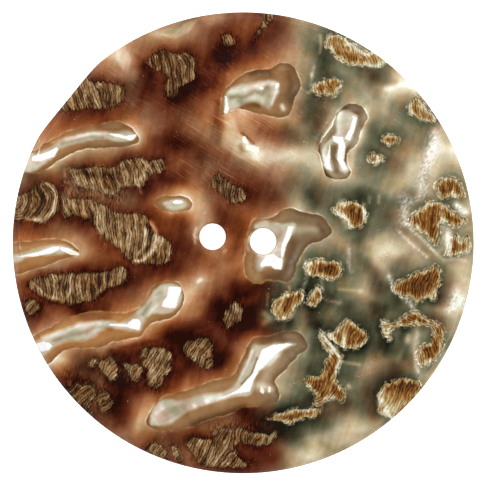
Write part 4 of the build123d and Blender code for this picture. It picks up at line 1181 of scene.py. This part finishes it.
# ---- Materials ----
SHELL_IOR, COAT_ROUGHNESS = 1.53, 0.12
POLISH_BUMP, CRUST_BUMP = 0.006, 0.05
GREEN_TINT, PINK_TINT = (206, 226, 196), (238, 208, 200)
# Lightness round which each look varies.
MIDDLE_TONE = {"window": 0.76, "side": 0.66, "brown": 0.335, "rust": 0.29}


def linear(colour):
    """sRGB 0-255 to linear RGBA."""
    parts = [c / 255 for c in colour]
    return [c / 12.92 if c < 0.04045 else ((c + 0.055) / 1.055) ** 2.4 for c in parts] + [1.0]


def lightness(colour):
    return (0.299 * colour[0] + 0.587 * colour[1] + 0.114 * colour[2]) / 255


class Shading:
    """A material being built. Each method adds a node and returns its output."""

    def __init__(self, name):
        self.material = bpy.data.materials.new(name)
        self.material.use_nodes = True
        self.tree = self.material.node_tree
        self.surface = self.tree.nodes["Principled BSDF"]
        self.place = self.node("ShaderNodeTexCoord").outputs["Object"]
        self.fields = {}

    def node(self, kind, **settings):
        made = self.tree.nodes.new(kind)
        for setting, value in settings.items():
            setattr(made, setting, value)
        return made

    def feed(self, socket, value):
        if isinstance(value, bpy.types.NodeSocket):
            self.tree.links.new(value, socket)
        else:
            socket.default_value = value

    def field(self, name):
        if name not in self.fields:
            self.fields[name] = self.node("ShaderNodeAttribute", attribute_name=name).outputs["Fac"]
        return self.fields[name]

    def math(self, operation, *values, clamp=False):
        made = self.node("ShaderNodeMath", operation=operation, use_clamp=clamp)
        for socket, value in zip(made.inputs, values):
            self.feed(socket, value)
        return made.outputs[0]

    def add(self, *values):
        total = values[0]
        for value in values[1:]:
            total = self.math("ADD", total, value)
        return total

    def noise(self, wavelength, size=1.0, seed=0.0, turn=0.0, stretch=1.0, detail=3.0, rough=0.55, flat=1.0):
        """Noise from about -size / 2 to size / 2, drawn out along a turned axis or squashed flat."""
        turned = self.node("ShaderNodeMapping")
        self.feed(turned.inputs["Vector"], self.place)
        turned.inputs["Rotation"].default_value = (0, 0, -math.radians(turn))
        grain = 1 / METRES / wavelength
        scaled = self.node("ShaderNodeMapping")
        self.feed(scaled.inputs["Vector"], turned.outputs[0])
        scaled.inputs["Scale"].default_value = (grain / stretch, grain, grain * flat)
        scaled.inputs["Location"].default_value = (seed, seed * 1.7, seed * 0.3)
        texture = self.node("ShaderNodeTexNoise")
        self.feed(texture.inputs["Vector"], scaled.outputs[0])
        texture.inputs["Scale"].default_value = 1.0
        texture.inputs["Detail"].default_value = detail
        texture.inputs["Roughness"].default_value = rough
        centred = self.math("SUBTRACT", texture.outputs["Fac"], 0.5)
        return centred if size == 1.0 else self.times(centred, size)

    def height(self):
        """Height above the back, in mm."""
        split = self.node("ShaderNodeSeparateXYZ")
        self.feed(split.inputs[0], self.place)
        return self.times(split.outputs["Z"], 1 / METRES)

    def span(self, value, low, high, start=0.0, end=1.0):
        """Maps low..high to start..end, clamped."""
        made = self.node("ShaderNodeMapRange", clamp=True)
        for socket, number in zip(made.inputs, (value, low, high, start, end)):
            self.feed(socket, number)
        return made.outputs[0]

    def times(self, first, second):
        return self.math("MULTIPLY", first, second)

    def line(self, gap, centre, width, strength):
        """A thin soft line where a distance field has one value."""
        off = self.math("ABSOLUTE", self.math("SUBTRACT", gap, centre))
        return self.span(off, 0.0, width, strength, 0.0)

    def ramp(self, value, colours):
        """Colours spread by their own lightness."""
        made = self.node("ShaderNodeValToRGB")
        self.feed(made.inputs["Fac"], value)
        stops = made.color_ramp.elements
        while len(stops) < len(colours):
            stops.new(0.5)
        for stop, colour in zip(stops, colours):
            stop.position = lightness(colour)
        for stop, colour in zip(stops, colours):
            stop.color = linear(colour)
        return made.outputs["Color"]

    def blend(self, share, first, second, mode="MIX"):
        made = self.node("ShaderNodeMix", data_type="RGBA", blend_type=mode)
        self.feed(made.inputs["Factor"], share)
        sockets = [s for s in made.inputs if s.type == "RGBA"]
        self.feed(sockets[0], first)
        self.feed(sockets[1], second)
        return next(s for s in made.outputs if s.type == "RGBA")

    def two_sided(self, value, reds, greens):
        """The red side's colours on the left and the green side's on the right."""
        return self.blend(self.field("green"), self.ramp(value, reds), self.ramp(value, greens))

    def glinting(self, value):
        """The value raised to white on the painted highlights of the bright facets."""
        return self.math("MAXIMUM", value, self.times(self.field("glint"), 1.05))

    def pearly(self, colour, wavelength, strength):
        """The colour tinted green in places and pink in others, as layers of shell tint light."""
        tint = self.noise(wavelength, seed=33.0, detail=2)
        plain = self.span(self.field("glint"), 0, 1, strength, 0.2 * strength)
        greenish = self.times(self.span(tint, 0.02, 0.15), plain)
        pinkish = self.times(self.span(tint, -0.02, -0.15), plain)
        colour = self.blend(greenish, colour, linear(GREEN_TINT), "MULTIPLY")
        return self.blend(pinkish, colour, linear(PINK_TINT), "MULTIPLY")

    def finish(self, colour, roughness, bump=None, bump_size=POLISH_BUMP, shine=0.5, coat=0.0):
        self.feed(self.surface.inputs["Base Color"], colour)
        self.feed(self.surface.inputs["Roughness"], roughness)
        self.surface.inputs["IOR"].default_value = SHELL_IOR
        self.surface.inputs["Specular IOR Level"].default_value = shine
        self.surface.inputs["Coat Weight"].default_value = coat
        self.surface.inputs["Coat Roughness"].default_value = COAT_ROUGHNESS
        if bump is not None:
            made = self.node("ShaderNodeBump")
            made.inputs["Strength"].default_value = 1.0
            made.inputs["Distance"].default_value = bump_size * METRES
            self.feed(made.inputs["Height"], bump)
            self.feed(self.surface.inputs["Normal"], made.outputs["Normal"])
        return self.material


def patchy(shade):
    """1 in some patches and 0 in others, so that an outline comes and goes."""
    return shade.span(shade.noise(0.9, seed=7.0), -0.08, 0.14)


def scratches(shade):
    """Fine polishing lines that run down to the right, and a few the other way."""
    main = shade.noise(0.10, seed=2.0, turn=-27, stretch=30, detail=2)
    cross = shade.noise(0.13, seed=9.0, turn=-58, stretch=30, detail=2)
    patches = shade.span(shade.noise(2.5, seed=4.0), -0.15, 0.15)
    lines = shade.add(shade.span(main, 0.06, 0.20), shade.span(cross, 0.13, 0.24, 0.0, 0.5))
    return shade.times(lines, shade.times(patches, shade.field("scuffs")))


def specks(shade):
    """Tiny pale grains scattered in the polish."""
    grains = shade.span(shade.noise(0.13, seed=6.0, detail=0), 0.29, 0.35)
    return shade.times(grains, shade.span(shade.noise(1.8, seed=17.0), 0.0, 0.12))


def shell_material():
    shade = Shading("coloured_shell")
    mottle = shade.add(
        shade.noise(2.6, size=0.14, seed=1.0, turn=25, stretch=2.2),
        shade.noise(0.7, size=0.12, seed=3.0, turn=20, stretch=1.6, detail=4),
        shade.noise(0.16, size=0.06, seed=5.0, detail=3),
        shade.noise(0.45, size=0.16, seed=16.0, turn=78, stretch=5, detail=3),
    )
    contour = shade.line(shade.field("window_gap"), centre=0.03, width=0.12, strength=0.22)
    contour = shade.times(contour, patchy(shade))
    frayed = shade.span(shade.noise(0.35, seed=14.0), -0.05, 0.12)
    fringe = shade.line(shade.field("crust_gap"), centre=0.06, width=0.14, strength=0.5)
    fringe = shade.times(fringe, frayed)
    fringe = shade.times(fringe, shade.field("green"))
    # Whitish ground and painted sheen and highlights, in greys over the shell's colour.
    grain = shade.span(shade.noise(0.16, seed=15.0, turn=60, stretch=2), -0.14, 0.18, 0.3, 1.2)
    frost_and_sheen = shade.times(shade.field("frost_and_sheen"), grain)
    crumbs = shade.add(0.03, shade.noise(0.11, seed=53.0, turn=90, stretch=3.5, detail=3))
    crumbs = shade.times(shade.field("grainy"), crumbs)
    scored = shade.times(scratches(shade), 0.16)
    pale = shade.add(crumbs, scored, shade.times(specks(shade), 0.35), contour, fringe, frost_and_sheen)
    value = shade.glinting(shade.add(shade.field("tone"), shade.field("fold"), mottle, pale))
    reds = shade.blend(shade.field("warmth"), shade.ramp(value, SHELL_RED), shade.ramp(value, SHELL_ORANGE))
    beige = shade.span(shade.add(shade.noise(1.4, size=1.4, seed=13.0), shade.times(value, 0.9)), 0.35, 0.7)
    greens = shade.blend(beige, shade.ramp(value, SHELL_GREEN), shade.ramp(value, SHELL_BEIGE))
    colour = shade.blend(shade.field("green"), reds, greens)
    frost_and_sheen_share = shade.span(shade.field("frost_and_sheen"), 0.0, 0.4, 0.0, 0.7)
    colour = shade.blend(frost_and_sheen_share, colour, shade.ramp(value, FROST_AND_SHEEN_GREYS))
    colour = shade.pearly(colour, 1.3, 0.35)
    wear = shade.add(shade.times(scratches(shade), 0.2), shade.times(shade.field("worn"), 0.4))
    rough = shade.add(0.24, wear, shade.noise(0.5, size=0.1, seed=8.0))
    bump = shade.add(shade.times(scratches(shade), -0.6), shade.noise(0.5, seed=12.0, detail=4))
    return shade.finish(colour, rough, bump, shine=0.14, coat=0.03)


def amber_material():
    shade = Shading("amber_layer")
    gap = shade.field("window_gap")
    layers = shade.add(
        shade.times(shade.line(gap, centre=0.03, width=0.12, strength=0.30), patchy(shade)),
        shade.span(gap, -0.45, 0.0, 0.05, -0.05),
        shade.line(shade.field("nacre_gap"), centre=0.04, width=0.10, strength=0.12),
        shade.noise(0.4, size=0.10, seed=21.0, detail=4),
        shade.noise(2.0, size=0.16, seed=22.0),
        shade.field("fold"),
    )
    sides = shade.span(shade.field("green"), 0, 1, 0.43, 0.36)
    base = shade.add(sides, shade.times(shade.field("glow"), 0.04))
    value = shade.glinting(shade.add(base, layers))
    colour = shade.two_sided(value, AMBER_RED, AMBER_GREEN)
    colour = shade.blend(shade.field("glow"), colour, shade.ramp(value, AMBER_ORANGE))
    rough = shade.add(0.22, shade.noise(0.4, size=0.1, seed=23.0))
    return shade.finish(colour, rough, shade.noise(0.35, seed=24.0, detail=4), shine=0.4, coat=0.1)


def pearl_material():
    """Mother-of-pearl: folded in the windows, in thin flat layers at the rim, cloudy on the back."""
    shade = Shading("mother_of_pearl")
    front = shade.span(shade.height(), NACRE_TOP + 0.05, NACRE_TOP + 0.45)
    # Folds: the pearl's own folds, with painted shade in them and painted highlights beside them from the
    # fold strokes.
    folds = shade.add(
        shade.noise(1.2, size=0.34, seed=31.0, turn=30, stretch=2.5, detail=3),
        shade.noise(0.35, size=0.16, seed=32.0, turn=30, stretch=3, detail=3),
        shade.line(shade.field("nacre_gap"), centre=0.0, width=0.16, strength=-0.10),
        shade.field("fold"),
    )
    window = shade.glinting(shade.add(MIDDLE_TONE["window"], folds))
    layers = shade.add(
        MIDDLE_TONE["side"],
        shade.noise(3.0, size=0.30, seed=36.0, flat=14, detail=4),
        shade.noise(4.5, size=0.22, seed=37.0, detail=4),
        shade.noise(0.4, size=0.05, seed=38.0, turn=40, stretch=5, detail=2),
    )
    pick = shade.node("ShaderNodeMix", data_type="FLOAT")
    for socket, value in zip((s for s in pick.inputs if s.type == "VALUE"), (front, layers, window)):
        shade.feed(socket, value)
    colour = shade.ramp(next(s for s in pick.outputs if s.type == "VALUE"), PEARL)
    colour = shade.pearly(colour, 1.6, 0.6)
    rough = shade.add(0.20, shade.noise(0.5, size=0.1, seed=34.0))
    return shade.finish(colour, rough, shade.noise(0.5, seed=35.0, detail=3), coat=0.2)


def leaf_lines(shade, fray, count, bend, low, high):
    """Lines across the crust, -0.5 to 0.5, so many to a leaf, bent by the fray: partly the crust's own
    banding and partly painted light and shade on its leaves.
    """
    along = shade.add(shade.times(shade.field("leaves"), count), shade.times(fray, bend))
    phase = shade.math("PINGPONG", shade.math("FRACT", along), 0.5)
    return shade.span(phase, low, high, -0.5, 0.5)


def crust_material():
    shade = Shading("rough_crust")
    fray = shade.noise(0.45, seed=44.0, turn=90, stretch=2.4, detail=5)
    # The leaf lines are partly painted light and shade on the crust's leaves, as well as their own banding.
    leaf = leaf_lines(shade, fray, 1.0, 1.7, 0.06, 0.44)
    half = leaf_lines(shade, fray, 2.0, 2.6, 0.0, 0.5)
    thick = leaf_lines(shade, fray, 0.36, 1.0, 0.05, 0.4)
    fine = shade.noise(0.09, seed=41.0, turn=90, stretch=5, detail=3)
    broken = shade.span(shade.noise(0.6, seed=47.0, detail=4), -0.12, 0.12, 0.2, 1.5)
    clumps = shade.noise(0.8, seed=42.0, turn=90, stretch=1.6, detail=5, rough=0.65)
    knots = shade.noise(1.8, size=0.5, seed=49.0, detail=4, rough=0.6)
    depth = shade.times(shade.field("crust_gap"), -1)
    shared = shade.add(shade.field("fold"), shade.times(fine, 0.7))
    brown = shade.add(
        MIDDLE_TONE["brown"],
        shared,
        shade.times(shade.times(leaf, broken), 0.28),
        shade.times(thick, 0.20),
        shade.times(shade.times(half, broken), 0.16), shade.times(clumps, 1.0), knots,
        shade.span(depth, 0.0, 0.20, -0.08, 0.0),
    )
    frayed = shade.add(depth, shade.noise(0.3, size=0.8, seed=45.0, turn=90, stretch=2, detail=3))
    stripes = shade.span(shade.noise(0.8, seed=46.0, turn=90, stretch=1.8), 0.08, 0.18, 0.0, 0.30)
    rust = shade.add(
        MIDDLE_TONE["rust"],
        shared,
        shade.times(leaf, 0.18),
        shade.times(thick, 0.10),
        shade.times(clumps, 0.35),
        shade.span(frayed, 0.05, 0.40, 0.46, 0.0), stripes,
    )
    golden = shade.span(shade.noise(1.5, seed=48.0, detail=3), -0.02, 0.18, 0.0, 0.55)
    browns = shade.blend(golden, shade.ramp(brown, CRUST_RED), shade.ramp(brown, CRUST_GOLD))
    colour = shade.blend(shade.field("green"), browns, shade.ramp(rust, CRUST_GREEN))
    bump = shade.add(leaf, fine, clumps)
    return shade.finish(colour, 0.55, bump, bump_size=CRUST_BUMP, shine=0.12)


# ---- Pieces ----
def build_pieces():
    crusts = [CRUST + index for index in range(len(CRUST_NODES))]
    mesh = column_piece("coloured_layer", AMBER_TOP, [OUTER], face, crusts, POCKET_FLOOR)
    place(mesh, ["outer_layer"], shell_material())
    mesh = column_piece("amber_bands", NACRE_TOP, [AMBER], face, [OUTER, *crusts], AMBER_TOP)
    place(mesh, ["amber_layer"], amber_material())
    mesh = column_piece("pearl_body", 0.0, [NACRE], face, [AMBER, OUTER, *crusts], NACRE_TOP)
    round_back(mesh)
    body = place(mesh, ["nacre_body"], pearl_material())
    even = body.modifiers.new("even_normals", "WEIGHTED_NORMAL")
    even.keep_sharp = True
    crust_look = crust_material()
    for region, node in zip(crusts, CRUST_NODES):
        mesh = column_piece("rough_" + node, POCKET_FLOOR, [region], crust_top)
        place(mesh, [node], crust_look, crease=60)


build_pieces()


# ---- Floor, light and camera ----
FLOOR_SIZE, FLOOR_GLOW, WORLD_GLOW = 2.0, 0.9, 0.12
SOFTBOX_DISTANCE, SOFTBOX_SIZE = 0.5, 0.20
SOFTBOXES = [
    ("left_softbox", (-1, 0.5, 1.15), 1.3),
    ("right_softbox", (1.0, -0.3, 1.25), 1.3),
    ("far_softbox", (0.1, 1.0, 1.3), 0.7),
]
CAMERA_ROLL = math.radians(5.2)
CAMERA_HEIGHT = 0.9
SENSOR_WIDTH = 36
VIEW_WIDTH = 0.04017
CAMERA_SHIFT = (0.000066, -0.000099)


def make_floor():
    bpy.ops.mesh.primitive_plane_add(size=FLOOR_SIZE, location=(0, 0, -FLOOR_GAP * METRES))
    floor = bpy.context.object
    floor.name = "floor"
    shade = Shading("white_floor")
    shade.surface.inputs["Emission Color"].default_value = (1, 1, 1, 1)
    shade.surface.inputs["Emission Strength"].default_value = FLOOR_GLOW
    mottle = shade.span(shade.noise(60, seed=51.0), -0.5, 0.5)
    colour = shade.blend(mottle, linear((240, 240, 240)), linear((244, 244, 243)))
    shade.finish(colour, 0.9)
    floor.data.materials.append(shade.material)


def make_light(name, direction, power):
    """A square softbox that faces the button."""
    data = bpy.data.lights.new(name, "AREA")
    data.shape = "SQUARE"
    data.size = SOFTBOX_SIZE
    data.energy = power
    lamp = bpy.data.objects.new(name, data)
    away = Vector(direction).normalized()
    lamp.location = away * SOFTBOX_DISTANCE
    lamp.rotation_mode = "QUATERNION"
    lamp.rotation_quaternion = away.to_track_quat("Z", "Y")
    bpy.context.scene.collection.objects.link(lamp)


def make_world():
    world = bpy.data.worlds.new("studio")
    world.use_nodes = True
    background = world.node_tree.nodes["Background"]
    background.inputs["Color"].default_value = (1, 1, 1, 1)
    background.inputs["Strength"].default_value = WORLD_GLOW
    bpy.context.scene.world = world


def make_camera():
    """Straight above, with a long lens, turned a little about the view."""
    data = bpy.data.cameras.new("camera")
    data.sensor_width = SENSOR_WIDTH
    data.lens = SENSOR_WIDTH * (CAMERA_HEIGHT - FACE * METRES) / VIEW_WIDTH
    data.clip_start, data.clip_end = 0.01, 10
    camera = bpy.data.objects.new("camera", data)
    right = Vector((math.cos(CAMERA_ROLL), math.sin(CAMERA_ROLL), 0))
    up = Vector((-right.y, right.x, 0))
    camera.location = right * CAMERA_SHIFT[0] + up * CAMERA_SHIFT[1] + Vector((0, 0, CAMERA_HEIGHT))
    camera.rotation_euler = (0, 0, CAMERA_ROLL)
    bpy.context.scene.collection.objects.link(camera)
    bpy.context.scene.camera = camera


make_floor()
for softbox in SOFTBOXES:
    make_light(*softbox)
make_world()
make_camera()
bpy.context.scene.view_settings.view_transform = "Standard"
